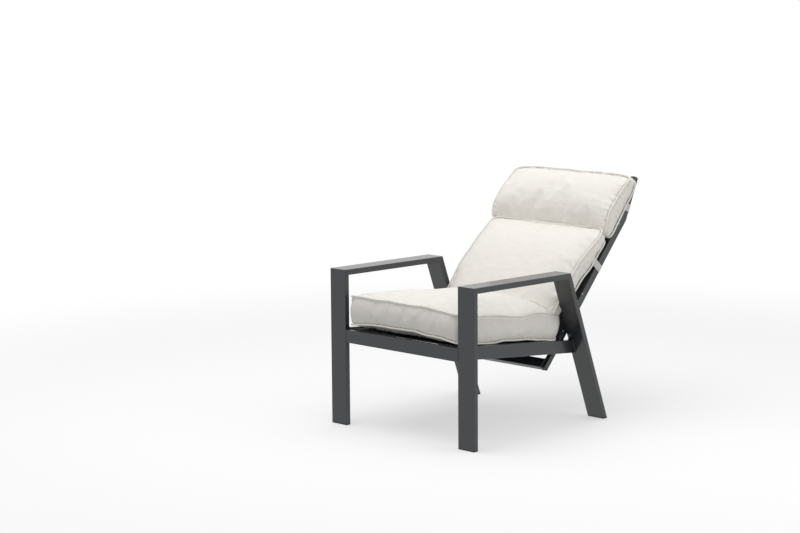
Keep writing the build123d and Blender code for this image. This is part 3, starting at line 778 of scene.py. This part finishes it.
def crowded(cells):
    """Shares from -1 to 1 that lie closer together near the ends."""
    turn = math.pi / 2 * crowding
    return np.sin(np.linspace(-1, 1, cells + 1) * turn) / math.sin(turn)


def eased(knots, values, at):
    """A smooth curve through the values at the knots."""
    knots, values = np.array(knots, float), np.array(values, float)
    at = np.clip(at, knots[0], knots[-1])
    k = np.clip(np.searchsorted(knots, at, side="right") - 1, 0, len(knots) - 2)
    t = (at - knots[k]) / (knots[k + 1] - knots[k])
    return values[k] + (values[k + 1] - values[k]) * t * t * (3 - 2 * t)


def cover_panel(half_width, ends, seam_height, rise):
    """One panel of a cover as a grid of points: across, along and out of the cushion."""
    a, b = np.meshgrid(crowded(panel_cells), crowded(panel_cells))
    pull = 1 / (1 + corner_power)
    half_length = (ends[1] - ends[0]) / 2
    x = half_width * a * (1 - pull * abs(b) ** corner_power)
    v = half_length * b * (1 - pull * abs(a) ** corner_power)
    x -= side_draw * a * abs(a) ** 3 * (1 - b * b)
    v -= side_draw * b * abs(b) ** 3 * (1 - a * a)
    v += (ends[0] + ends[1]) / 2
    swell = ((1 - abs(a) ** crown_power) * (1 - abs(b) ** crown_power)) ** crown_fullness
    spots = zip((x / seam_waver_length).flat, (v / seam_waver_length).flat)
    wave = [noise.noise((p, q, rise * seam_waver_change)) for p, q in spots]
    height = seam_height(a, v) + rise * swell + seam_waver * np.array(wave).reshape(x.shape)
    return np.stack([x, v, height], axis=-1)


def outward(ring):
    """The level direction away from a closed ring of points, at each of them."""
    along = np.roll(ring, -1, axis=0) - np.roll(ring, 1, axis=0)
    away = np.stack([along[:, 1], -along[:, 0], np.zeros(len(ring))], axis=1)
    return away / np.linalg.norm(away, axis=1)[:, None]


def ring_faces(under, above):
    """The quads between two closed rings of points."""
    return list(zip(under, under[1:] + under[:1], above[1:] + above[:1], above))


def edge_order(n):
    """Grid places of a panel's edge, one after another, all the way round."""
    return (
        [(0, i) for i in range(n)]
        + [(j, n) for j in range(n)]
        + [(n, n - i) for i in range(n)]
        + [(n - j, 0) for j in range(n)]
    )


class Cover:
    """A sewn cover: a back and a front panel with a border between their two seams."""

    def __init__(self, back, front, border_bulge):
        n = panel_cells + 1
        self.back_ring = [j * n + i for j, i in edge_order(panel_cells)]
        self.front_ring = [n * n + k for k in self.back_ring]
        points = np.concatenate([back.reshape(-1, 3), front.reshape(-1, 3)])
        low, high = points[self.back_ring], points[self.front_ring]
        out = border_bulge * outward(high + low)
        shares = (crowded(border_cells)[1:-1] + 1) / 2
        bulges = np.sin(math.pi * shares) ** border_roundness
        rows = [low * (1 - t) + high * t + out * bulge for t, bulge in zip(shares, bulges)]
        self.points = np.concatenate([points] + rows)
        border_rings = np.arange(len(points), len(self.points)).reshape(len(rows), -1).tolist()
        quads = grid_faces(n, n)
        self.faces = [quad[::-1] for quad in quads] + [tuple(n * n + c for c in quad) for quad in quads]
        self.chart = [tuple(self.points[c][:2]) for face in self.faces for c in face]
        run = np.concatenate([[0], np.cumsum(np.linalg.norm(np.roll(high, -1, axis=0) - high, axis=1))])
        levels = np.concatenate([[0], shares, [1]]) * np.linalg.norm(high - low, axis=1).mean()
        rings = [self.back_ring] + border_rings + [self.front_ring]
        for under, above, bottom, top in zip(rings, rings[1:], levels, levels[1:]):
            self.faces += ring_faces(under, above)
            for start, end in zip(run, run[1:]):
                self.chart += [(start, bottom), (end, bottom), (end, top), (start, top)]

    def mesh(self, name):
        mesh = cloth_mesh(name, self.points, self.faces, self.chart)
        sewn = set()
        for ring in (self.back_ring, self.front_ring):
            sewn |= {tuple(sorted(step)) for step in zip(ring, ring[1:] + ring[:1])}
        crease = mesh.attributes.new("crease_edge", "FLOAT", "EDGE")
        for edge in mesh.edges:
            crease.data[edge.index].value = float(tuple(sorted(edge.vertices)) in sewn)
        return mesh


filling_frames = 20
filling_cap = 0.024
filling = {
    "quality": 6, "mass": 0.3, "tension_stiffness": 15, "compression_stiffness": 12,
    "shear_stiffness": 4, "bending_stiffness": 0.3, "shrink_min": -0.02,
    "use_pressure": True, "uniform_pressure_force": 4, "vertex_group_mass": "seams",
}


def places(mesh):
    points = np.empty(len(mesh.vertices) * 3)
    mesh.vertices.foreach_get("co", points)
    return points.reshape(-1, 3)


def place(mesh, points):
    mesh.vertices.foreach_set("co", points.astype(np.float32).ravel())
    mesh.update()


def fill(mesh, seams):
    """Blows the cover up against its seams by cloth simulation, and keeps the result."""
    piece = linked("filling", mesh)
    held = piece.vertex_groups.new(name="seams")
    held.add(seams, 1, "REPLACE")
    cloth = piece.modifiers.new("filling", "CLOTH").settings
    for name, setting in filling.items():
        setattr(cloth, name, setting)
    cloth.effector_weights.gravity = 0
    for moment in range(1, filling_frames + 1):
        bpy.context.scene.frame_set(moment)
    before = places(mesh)
    after = places(piece.evaluated_get(bpy.context.evaluated_depsgraph_get()).data)
    piece.modifiers.clear()
    bpy.context.scene.frame_set(1)
    bpy.data.objects.remove(piece)
    step = after - before
    length = np.linalg.norm(step, axis=1)[:, None]
    place(mesh, before + step * (filling_cap / np.maximum(length, filling_cap)))


def seam_line(points):
    """The line that a seam takes after one subdivision."""
    line = np.empty((2 * len(points), 3))
    line[0::2] = (np.roll(points, 1, axis=0) + 6 * points + np.roll(points, -1, axis=0)) / 8
    line[1::2] = (points + np.roll(points, -1, axis=0)) / 2
    return line


pucker_length = 0.0085
pucker_reach = 0.016
pucker_height = 0.0055
pucker_patch = 0.11
seam_bite = 0.0025
tuck_depth = 0.0030
tuck_reach = 0.0060
crease_height = 0.0013
crease_length = 0.045
crease_start = 0.03
crease_stretch = 1.8
fine_across, fine_along, fine_start = 2.3, 2.7, 4
ripple_plane, fine_ripple_plane, patch_plane = 0.3, 7.1, 3.7
patch_middle, patch_swing = 0.45, 0.9
seam_gap = 3


def gather(mesh, seams, seed, tightness):
    """Puckers along the seams, and soft creases over the panels."""
    points = places(mesh)
    normals = np.empty(len(points) * 3)
    mesh.vertex_normals.foreach_get("vector", normals)
    normals = normals.reshape(-1, 3)
    runs = [np.concatenate([[0], np.cumsum(np.linalg.norm(np.diff(s, axis=0), axis=1))]) for s in seams]
    runs = np.concatenate([run + seam_gap * k for k, run in enumerate(runs)])
    tree = kdtree.KDTree(len(runs))
    for k, point in enumerate(np.concatenate(seams)):
        tree.insert(point, k)
    tree.balance()

    def along_seam(run, length, plane):
        return noise.noise((run / length, seed, plane))

    for k, point in enumerate(points):
        _, index, far = tree.find(point)
        run = runs[index]
        ripple = along_seam(run, pucker_length, ripple_plane)
        ripple += along_seam(run, pucker_length / 2, fine_ripple_plane) / 2
        patch = patch_middle + patch_swing * along_seam(run, pucker_patch, patch_plane)
        tight = max(0, patch) * tightness
        near = math.exp(-far / pucker_reach) * (1 - math.exp(-far / seam_bite))
        x, y, z = Vector(point) / crease_length
        soft = noise.noise((x, y * crease_stretch, z + seed))
        soft += noise.noise((x * fine_across + fine_start, y * fine_along, z * 2 + seed)) / 2
        away = 1 - math.exp(-far / crease_start)
        tuck = tuck_depth * math.exp(-((far / tuck_reach) ** 2))
        height = tight * pucker_height * ripple * near + crease_height * soft * away - tuck
        points[k] = point + normals[k] * height
    place(mesh, points)


piping_radius = 0.0035
piping_sides = 10
piping_step = 0.003
piping_waver = 0.0006
piping_proud = 0.0034
piping_lift = 0.0006
piping_drift = 55, 1.0


def swept(recipe, path, profile, capped):
    """The profile swept along the path, charted as cloth by the lengths along both."""
    kept = []
    for curve in (path, profile):
        length = recipe.node("GeometryNodeSplineParameter", output="Length")
        kept.append(recipe.node(
            "GeometryNodeCaptureAttribute", {"captured": "length"}, {"Geometry": curve, "length": length}
        ))
    solid = recipe.node(
        "GeometryNodeCurveToMesh", {}, {"Curve": kept[0], "Profile Curve": kept[1], "Fill Caps": capped}
    )
    lengths = {k: curve.other("length") for k, curve in enumerate(kept)}
    return recipe.node(
        "GeometryNodeStoreNamedAttribute",
        {"data_type": "FLOAT2", "domain": "CORNER"},
        {"Geometry": solid, "Name": "cloth", "Value": recipe.node("ShaderNodeCombineXYZ", {}, lengths)},
    )


piping_tree, recipe, group = start_tree("piping", Radius="Float", Step="Float", Sides="Int", Waver="Float")
cord = even_path(recipe, group)
cord_place = recipe.node("GeometryNodeInputPosition")
drift = recipe.mottle(cord_place, *piping_drift).other("Color")
drift = recipe.node("ShaderNodeVectorMath", {"operation": "SUBTRACT"}, {0: drift, 1: (0.5, 0.5, 0.5)})
waver = group.other("Waver") * 2
drift = recipe.node("ShaderNodeVectorMath", {"operation": "SCALE"}, {0: drift, "Scale": waver})
cord = recipe.node("GeometryNodeSetPosition", {}, {"Geometry": cord, "Offset": drift})
end_tree(recipe, group, swept(recipe, cord, round_profile(recipe, group), capped=False))


def piping(name, seam, side):
    """The piped seam's cord, set a little outside the seam line."""
    line = seam + outward(seam) * piping_proud + np.array((0, 0, side * piping_lift))
    return grown(
        name, wire_mesh(name, [line]), piping_tree, ivory_linen,
        Radius=piping_radius, Step=piping_step, Sides=piping_sides, Waver=piping_waver,
    )


def cushion(name, node, body, foot, heading, cover, seed, tightness, presses, extras=()):
    """Fills, gathers and pipes a cover, then lays it in its place on the chair."""
    mesh = cover.mesh(name)
    fill(mesh, cover.back_ring + cover.front_ring)
    seams = [seam_line(places(mesh)[ring]) for ring in (cover.back_ring, cover.front_ring)]
    mesh = changed(mesh, "SUBSURF", {"levels": 1, "render_levels": 1})
    gather(mesh, seams, seed, tightness)
    facing = Vector((0, -heading.z, heading.y))
    turn = np.array([(1, 0, 0), tuple(heading), tuple(facing)])
    mesh.materials.append(ivory_linen)
    pieces = [linked(name, mesh)]
    pieces += [piping("piping", seam, side) for side, seam in zip((-1, 1), seams)]
    for extra in extras:
        pieces += extra(mesh)
    for piece in pieces:
        laid = places(piece.data) @ turn + np.array(foot)
        for press in presses:
            laid = press(laid)
        place(piece.data, laid)
    whole = joined(name, pieces)
    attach(whole, body)
    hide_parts(node)
    return whole


seat_pad_foot = Vector((0, -0.513345, 0.3835))
seat_pad_half = 0.290
seat_top_ends = -0.021, 0.577
seat_bottom_ends = -0.011, 0.560
seat_top_line = (-0.021, 0.086, 0.322, 0.437, 0.577), (0.114, 0.1074, 0.1014, 0.1107, 0.098)
seat_bottom_line = (-0.011, 0.095, 0.331, 0.552), (0.0085, 0.006, 0.010, 0.0014)
seat_front_reach = 0.12
seat_front_rise, seat_corner_power = 0.012, 8
seat_middle_lift, seat_side_lift = 0.017, 0.003
seat_belly, seat_crown, seat_border_bulge = -0.006, 0.037, 0.009


def frontness(v, front):
    return np.clip(1 - (v - front) / seat_front_reach, 0, 1)


def seat_top_seam(a, v):
    """The top seam rises in front, save at its left corner."""
    rise = seat_front_rise * (1 - ((a + 1) / 2) ** seat_corner_power)
    return eased(*seat_top_line, v) + frontness(v, seat_top_ends[0]) * rise


def seat_bottom_seam(a, v):
    """The bottom seam rises in front, most in the middle."""
    rise = seat_middle_lift * (1 - a * a) + seat_side_lift * (1 - a)
    return eased(*seat_bottom_line, v) + frontness(v, seat_bottom_ends[0]) * rise


seat_cover = Cover(
    cover_panel(seat_pad_half, seat_bottom_ends, seat_bottom_seam, seat_belly),
    cover_panel(seat_pad_half, seat_top_ends, seat_top_seam, seat_crown),
    seat_border_bulge,
)
seat_bed = 0.0012


def measured(points, origin, direction):
    """How far along the direction each point is from the origin."""
    return (points - np.array(origin)) @ np.array(direction)


def moved(points, distances, direction):
    return points + distances[:, None] * np.array(direction)


def pressed_by(origin, facing, bed):
    """A press for a cushion: nothing of it goes behind the height of the bed that it rests on."""
    def press(points):
        height = bed(abs(points[:, 0]))
        return moved(points, np.maximum(0, height - measured(points, origin, facing)), facing)
    return press


def surface_of(mesh):
    return BVHTree.FromPolygons([v.co for v in mesh.vertices], [p.vertices for p in mesh.polygons])


rest_on_seat = pressed_by(seat_pad_foot, seat_facing, lambda x: seat_bed)


zip_reach = 0.215
zip_step = 0.004
zip_level = 0.067
well_outside = 1.5
tape_half = 0.011
tape_lift = 0.0007
tape_thickness = 0.0005
tooth_pitch = 0.0018
tooth_size = 0.0011, 0.0046, 0.0022
tooth_lift = tape_lift + 0.0004
tape_seam_lift = tape_lift + 0.0002
tape_seams = -0.85, -0.45, 0.45, 0.85
slider_size, slider_bevel = (0.010, 0.0042, 0.0075), 0.0009
slider_out = 0.0016
tab_size, tab_bevel = (0.0055, 0.0016, 0.024), 0.0006
tab_back, tab_out, tab_drop = 0.001, 0.0034, 0.012
zip_colours = paint(188, 184, 176), paint(222, 218, 210)
zip_roughness = 0.35, 0.55
zip_grain = 1800, 2.0, 1, 1
pale_plastic = flecked("pale_zip_plastic", zip_colours, zip_roughness, (zip_grain,))


def block(name, middle, size, bevel, finish):
    """A small moulded block with rounded edges, from its middle and its three sizes."""
    mesh = bpy.data.meshes.new(name)
    corners = [[m + s * d / 2 for m, s, d in zip(middle, signs, size)] for signs in block_corners]
    mesh.from_pydata(corners, [], block_faces)
    result = changed(mesh, "BEVEL", {"width": bevel, "segments": 2})
    result.materials.append(finish)
    return linked(name, result)


block_corners = [(x, y, z) for x in (-1, 1) for y in (-1, 1) for z in (-1, 1)]
block_faces = [(0, 1, 3, 2), (4, 6, 7, 5), (0, 4, 5, 1), (2, 3, 7, 6), (0, 2, 6, 4), (1, 5, 7, 3)]


def zip_fastener(side, level):
    """A zip across the border that faces along the cushion, as an extra of a cushion."""
    def sewn_in(mesh):
        surface = surface_of(mesh)
        xs = np.arange(-zip_reach, zip_reach + zip_step / 2, zip_step).tolist()

        def on_border(x, z, lift):
            spot, normal, _, _ = surface.ray_cast(Vector((x, side * well_outside, z)), Vector((0, -side, 0)))
            return spot + lift * normal

        heights = [level + tape_half * share for share in (-1, -0.5, 0, 0.5, 1)]
        points = [on_border(x, z, tape_lift) for x in xs[:: 1 if side < 0 else -1] for z in heights]
        coordinates = [(x, z) for x in xs for z in heights]
        cloth = panel_mesh("tape", points, len(heights), coordinates, ivory_linen)
        tape = thickened("tape", cloth, tape_thickness)
        row = [on_border(x, level, tooth_lift) for x in xs]
        teeth = marked("teeth", [row], tooth_pitch, tooth_size, (0.0, float(side), 0.0), pale_plastic)
        seams = [[on_border(x, level + tape_half * k, tape_seam_lift) for x in xs] for k in tape_seams]
        slider_place = row[-2] + Vector((0, side * slider_out, 0))
        slider = block("slider", slider_place, slider_size, slider_bevel, pale_plastic)
        tab_place = row[-2] + Vector((-tab_back, side * tab_out, -tab_drop))
        tab = block("tab", tab_place, tab_size, tab_bevel, pale_plastic)
        return [tape, teeth, slider, tab, stitches("zip_stitches", seams, pale_plastic)]
    return sewn_in


seat_piece = cushion(
    "seat_cushion_cover", "seat_cushion", "frame", seat_pad_foot, seat_heading, seat_cover,
    seed=11, tightness=1.0, presses=[rest_on_seat], extras=[zip_fastener(1, zip_level)],
)
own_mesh(seat_piece)


# Lower back cushion and head cushion: covers like the seat's, each held to the back frame by
# an elastic strap sewn into its rear seam. The lower one stands on the seat cushion.
lower_pad_foot = Vector((0, 0.1045, 0.43197))
lower_pad_angle = math.radians(43.6)
head_pad_foot = Vector((0, 0.3587, 0.7030))
head_pad_angle = math.radians(51.4)
pivot_place = Vector((0, 0.04266, 0.304))
lower_rail_length = 0.610
bend_place = pivot_place + lower_rail_length * run_direction(recline_angle)
lower_half, lower_back_ends, lower_front_ends = 0.289, (-0.025, 0.345), (-0.125, 0.366)
lower_front_line = (-0.125, 0.15, 0.366), (0.064, 0.088, 0.069)
lower_back_height = 0.0288
lower_tuck, lower_tuck_reach, lower_tuck_power = 0.006, 0.02, 6
lower_belly, lower_crown, lower_border_bulge = -0.012, 0.034, 0.009
strap_draw, strap_run, strap_spread = 0.0075, 0.238, 0.07
head_half, head_back_ends, head_front_ends = 0.299, (0.0, 0.253), (-0.004, 0.248)
head_front_line = (-0.004, 0.062, 0.248), (0.056, 0.075, 0.057)
head_belly, head_crown, head_border_bulge = -0.010, 0.025, 0.007
head_tuck, head_tuck_reach = 0.018, 0.02
head_close_front, head_close_back, head_close_reach, head_close_end = 0.020, 0.013, 0.03, 0.25


def near_end(v, end, reach):
    return np.exp(-abs(v - end) / reach)


def lower_front_seam(a, v):
    tucked = lower_tuck * (1 - a ** lower_tuck_power)
    return eased(*lower_front_line, v) - tucked * near_end(v, lower_front_ends[1], lower_tuck_reach)


def lower_back_seam(a, v):
    """The strap draws the rear seam back where it is sewn in."""
    return lower_back_height - strap_draw * a ** 4 * np.exp(-((v - strap_run) / strap_spread) ** 2)


def head_end(a, v):
    """Where the head cushion's two seams close up, at its four corners."""
    low, high = (near_end(v, end, head_close_reach) for end in (head_front_ends[0], head_close_end))
    return a ** 4 * (low + high)


def head_front_seam(a, v):
    tucked = head_tuck * (1 - a ** 4) * near_end(v, head_front_ends[0], head_tuck_reach)
    return eased(*head_front_line, v) - head_close_front * head_end(a, v) - tucked


def head_back_seam(a, v):
    return head_close_back * head_end(a, v)


lower_cover = Cover(
    cover_panel(lower_half, lower_back_ends, lower_back_seam, lower_belly),
    cover_panel(lower_half, lower_front_ends, lower_front_seam, lower_crown),
    lower_border_bulge,
)
head_cover = Cover(
    cover_panel(head_half, head_back_ends, head_back_seam, head_belly),
    cover_panel(head_half, head_front_ends, head_front_seam, head_crown),
    head_border_bulge,
)


channel_face = 0.021
cloth_depth = 0.0033
rail_face = 0.0115
rail_reach = 0.2885
channel_reach = back_half_span + 0.016
cloth_reach = back_half_span - 0.005


def back_bed(x):
    """The height of the cloth, the channels and the rails, at a distance from the middle."""
    on_rail = np.where(x < rail_reach, rail_face, -1)
    on_channel = np.where(x < channel_reach, channel_face, on_rail)
    return np.where(x < cloth_reach, channel_face - cloth_depth, on_channel)


back_presses = [
    pressed_by(pivot_place, face_direction(recline_angle), back_bed),
    pressed_by(bend_place, face_direction(head_angle), back_bed),
]
seat_surface = surface_of(seat_piece.data)
contact_gap = 0.0006
contact_search = 0.2
lower_heading = run_direction(lower_pad_angle)


def clear_of_seat(points):
    """What would be inside the seat cushion is drawn back up to where it meets that cushion."""
    over = measured(points, seat_pad_foot, seat_facing)
    along = measured(points, seat_pad_foot, seat_heading)
    top = seat_top_seam(1, along) + contact_gap
    climb = lower_heading.dot(seat_facing)
    rise = np.where(along < seat_top_ends[1], np.maximum(0, top - over), 0) / climb
    points = moved(points, rise, lower_heading)
    for k, point in enumerate(points):
        spot, normal, _, _ = seat_surface.ray_cast(Vector(point), lower_heading, contact_search)
        if spot is not None and normal.dot(lower_heading) > 0:
            points[k] = spot + contact_gap * normal
    return points


lower_piece = cushion(
    "lower_cushion_cover", "lower_back_cushion", "backrest", lower_pad_foot, lower_heading, lower_cover,
    seed=23, tightness=1.0, presses=back_presses + [clear_of_seat],
)
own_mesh(lower_piece)


head_heading = run_direction(head_pad_angle)
head_sag, head_sag_far = 0.022, 0.003
sag_start, sag_side, sag_top = 0.2, 0.1, 0.07


def hang_corners(points):
    """The head cushion's lower corners hang down beside the cushion below."""
    along = measured(points, head_pad_foot, head_heading)
    side = np.clip((abs(points[:, 0]) - sag_start) / sag_side, 0, 1) ** 2
    low = np.clip((sag_top - along) / sag_top, 0, 1)
    drop = np.where(points[:, 0] > 0, head_sag, head_sag_far) * side * low * low * (3 - 2 * low)
    return moved(points, -drop, head_heading)


head_zip_level = 0.022
head_piece = cushion(
    "head_cushion_cover", "head_cushion", "backrest", head_pad_foot, head_heading, head_cover,
    seed=37, tightness=1.4, presses=[hang_corners] + back_presses,
    extras=[zip_fastener(-1, head_zip_level)],
)


# Straps: ribbed elastic webbing sewn into the rear seam of each back cushion with a box of
# stitches at each end, and passed round the back of the two back rails.
webbing_dark = paint(176, 173, 168)
webbing_light = paint(226, 224, 220)
webbing_width = 0.030
webbing_thickness = 0.0015
webbing_ribs = 11
webbing_corner = 0.0045
webbing_step = 0.003
webbing_pick = 0.0011
webbing_edge = 0.0007
webbing_corner_steps = 7
webbing_edge_steps = 3
# Shares of the picks, the ribs and the speckle: the picks and ribs follow the relief and paint shade into its
# grooves.
webbing_painted_shade_and_tone_shares = 0.12, 0.2, 0.4
webbing_relief_shares = 0.3, 0.7
webbing_roughness = 0.7, 0.85
webbing_speckle = 900, 2.0
webbing_relief = 0.5, 0.0003


def webbing(name):
    material, recipe = new_finish(name)
    chart = recipe.node("ShaderNodeUVMap", {"uv_map": "cloth"})
    parts = recipe.node("ShaderNodeSeparateXYZ", {}, {0: chart})
    picks = (parts * (math.pi * 2 / webbing_pick)).sine()
    ribs = (parts.other("Y") * (math.pi * 2 * webbing_ribs / webbing_width)).sine()
    speckle = recipe.mottle(chart, *webbing_speckle)
    # Darker in the grooves between the ribs and picks, which is painted shade. The speckle is the webbing's
    # own tone.
    tone_and_painted_shade = 0.5 + summed((picks, ribs, speckle - 0.5), webbing_painted_shade_and_tone_shares)
    recipe.surface({
        "Base Color": recipe.mixed(tone_and_painted_shade, webbing_dark, webbing_light),
        "Roughness": between(webbing_roughness, speckle),
        "Normal": recipe.relief(summed((picks, ribs), webbing_relief_shares), *webbing_relief),
    })
    return material


pale_webbing = webbing("pale_webbing")
webbing_tree, recipe, group = start_tree("webbing", Width="Float", Thickness="Float", Step="Float")
band = recipe.node("GeometryNodeSetCurveNormal", {"mode": "Z_UP"}, {"Curve": even_path(recipe, group)})
sizes = {"Width": group.other("Thickness"), "Height": group.other("Width")}
edge = recipe.node("GeometryNodeCurvePrimitiveQuadrilateral", {}, sizes)
rounding = {"Curve": edge, "Radius": webbing_edge, "Count": webbing_edge_steps}
edge = recipe.node("GeometryNodeFilletCurve", {"mode": "POLY"}, rounding)
end_tree(recipe, group, swept(recipe, band, edge, capped=True))

stitch_box_inset = 0.004
stitch_box_length = 0.020
stitch_box_half = 0.011
strap_back = -0.01205


def strap(name, node, origin, angle, along, reach):
    """Laid out flat as (across, out) first, with its width upright, then put in its place."""
    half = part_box(node)[1].x - webbing_thickness / 2
    turns = np.linspace(0, math.pi / 2, webbing_corner_steps).tolist()
    corner = [
        (half - webbing_corner * (1 - math.cos(t)), strap_back + webbing_corner * (1 - math.sin(t)))
        for t in turns
    ]
    half_line = [(half, reach), (half, (reach + strap_back) / 2)] + corner
    line = half_line + [(0, strap_back)] + [(-x, z) for x, z in reversed(half_line)]
    near = reach - stitch_box_inset
    far = near - stitch_box_length
    box = [(near, -1), (near, 1), (far, 1), (far, -1), (near, -1), (far, 1)]
    lines = [
        [Vector((side * (half + webbing_thickness / 2), z, s * stitch_box_half)) for z, s in box]
        for side in (-1, 1)
    ]
    band = grown(
        name, wire_mesh(name, [[(x, z, 0) for x, z in line]], closed=False), webbing_tree, pale_webbing,
        Width=webbing_width, Thickness=webbing_thickness, Step=webbing_step,
    )
    pieces = [band, stitches("strap_stitches", lines, pale_plastic)]
    heading, facing = run_direction(angle), face_direction(angle)
    turn = np.array([(1, 0, 0), tuple(facing), tuple(heading)])
    for piece in pieces:
        place(piece.data, places(piece.data) @ turn + np.array(origin + along * heading))
    whole = joined(name, pieces)
    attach(whole, "backrest")
    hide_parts(node)


lower_strap_run, lower_strap_reach = 0.372, 0.052
upper_strap_run, upper_strap_reach = 0.048, 0.036
strap("lower_strap_webbing", "lower_strap", pivot_place, recline_angle, lower_strap_run, lower_strap_reach)
strap("upper_strap_webbing", "upper_strap", bend_place, head_angle, upper_strap_run, upper_strap_reach)


# Channel screws: button-head machine screws with a hexagon socket, zinc plated, driven
# through the back rails from outside into the sling channels.
zinc_colours = paint(120, 122, 126), paint(186, 188, 192)
zinc_roughness = 0.24, 0.42
metal_cloud = 45, 3.0, 0.6, 0.5
metal_relief = 0.3, 0.00003
bare_metal = {"Metallic": 1.0}
zinc_flecks = (700, 3.0, 0.4, 0.5), metal_cloud
zinc = flecked("zinc_plate", zinc_colours, zinc_roughness, zinc_flecks, metal_relief, bare_metal)
screw_radius = 0.00375
screw_head = 0.0016
socket_half = 0.00125
socket_depth = 0.0012
screw_sides = 36
head_edge = 0.0004
dome_turns = 0.35, 0.7, 1.0
dome_fullness = 0.7
socket_chamfer = 0.0002
socket_point = 0.0004


def button_head():
    angles = np.linspace(0, 2 * math.pi, screw_sides, endpoint=False)
    hexagon = socket_half / np.cos((angles + math.pi / 6) % (math.pi / 3) - math.pi / 6)
    whole = np.ones(screw_sides)
    rings = [(screw_radius * whole, 0.0), (screw_radius * whole, head_edge)]
    for turn in dome_turns:
        radius = screw_radius * math.cos(turn) ** dome_fullness
        rings.append((radius * whole, head_edge + (screw_head - head_edge) * math.sin(turn)))
    rings += [
        (hexagon + socket_chamfer, screw_head),
        (hexagon, screw_head - socket_chamfer),
        (hexagon, screw_head - socket_depth),
    ]
    points = [
        (radius * math.cos(angle), radius * math.sin(angle), z)
        for radii, z in rings
        for radius, angle in zip(radii, angles)
    ]
    points.append((0, 0, screw_head - socket_depth - socket_point))
    loops = np.arange(len(rings) * screw_sides).reshape(len(rings), -1).tolist()
    faces = [quad for under, above in zip(loops, loops[1:]) for quad in ring_faces(under, above)]
    faces += [(k, after, len(points) - 1) for k, after in zip(loops[-1], loops[-1][1:] + loops[-1][:1])]
    faces.append(tuple(reversed(loops[0])))
    mesh = bpy.data.meshes.new("button_head")
    mesh.from_pydata(points, [], faces)
    return linked("button_head", mesh)


heads_tree, recipe, group = start_tree("heads_on_points", Head="Object", Out="Vector")
head = recipe.node("GeometryNodeObjectInfo", {}, {"Object": group.other("Head")}, output="Geometry")
head_turn = recipe.node("FunctionNodeAlignRotationToVector", {"axis": "Z"}, {"Vector": group.other("Out")})
heads = recipe.node(
    "GeometryNodeInstanceOnPoints", {}, {"Points": group, "Instance": head, "Rotation": head_turn}
)
end_tree(recipe, group, heads)

screw_seat = 0.28805
screw_out = 0.01575
lower_screw_runs = 0.0610, 0.2362, 0.5750
head_screw_run = 0.0882
screw_runs = [(pivot_place, recline_angle, run) for run in lower_screw_runs]
screw_runs.append((bend_place, head_angle, head_screw_run))
screw_places = [
    corner + run * run_direction(angle) + screw_out * face_direction(angle)
    for corner, angle, run in screw_runs
]
screw_shape = button_head()
rows = []
for side in (-1, 1):
    spots = bpy.data.meshes.new("screw_spots")
    spots.from_pydata([(side * screw_seat, spot.y, spot.z) for spot in screw_places], [], [])
    rows.append(grown("screws", spots, heads_tree, zinc, Head=screw_shape, Out=(float(side), 0.0, 0.0)))
bpy.data.objects.remove(screw_shape)
screws = joined("channel_screw_heads", rows)
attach(screws, "backrest")
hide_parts("channel_screws")


# Hinge bolts, washers, rivet nuts, pins and the gas spring's end fittings: zinc-plated steel,
# with a cylinder in semi-gloss black paint and a rod and valve pin that are chromed and ground.
chrome_colours = paint(196, 198, 202), paint(224, 226, 229)
chrome_roughness = 0.06, 0.14
grinding = 1, 0.04, 0.04
chrome_flecks = (500, 3.0, 0.4, 0.5), metal_cloud
chrome = flecked(
    "ground_chrome", chrome_colours, chrome_roughness, chrome_flecks, metal_relief, bare_metal, grinding
)
paint_colours = paint(14, 14, 15), paint(27, 27, 29)
paint_roughness = 0.18, 0.32
paint_flow, paint_dust = (160, 2.0, 0.5, 0), (1400, 2.0, 0.5, 1)
paint_relief = 0.3, 0.00005
black_paint = flecked(
    "semi_gloss_black_paint", paint_colours, paint_roughness, (paint_flow, paint_dust), paint_relief,
    {"Coat Weight": 0.4},
)
steel_colours = paint(27, 29, 31), paint(37, 39, 41)
steel_roughness = 0.3, 0.44
steel_coat = flecked(
    "steel_powder_coat", steel_colours, steel_roughness, coat_flecks, orange_peel_relief, coat_gloss
)
dress(zinc, *pair("pivot_bolt"), "pivot_washers", "pivot_rivet_nuts", "spring_front_pin", "spring_rear_pin")
dress(zinc, "gas_spring_piston", "gas_spring_guide", "gas_spring_eye", "release_head")
dress(chrome, "gas_spring_rod", "valve_pin")
dress(black_paint, "gas_spring_cylinder")
dress(steel_coat, "spring_front_bracket", "spring_rear_clevis")
dress(steel_coat, "release_shaft", "release_rocker", "release_paddle")
dress(black_nylon, "release_grip")
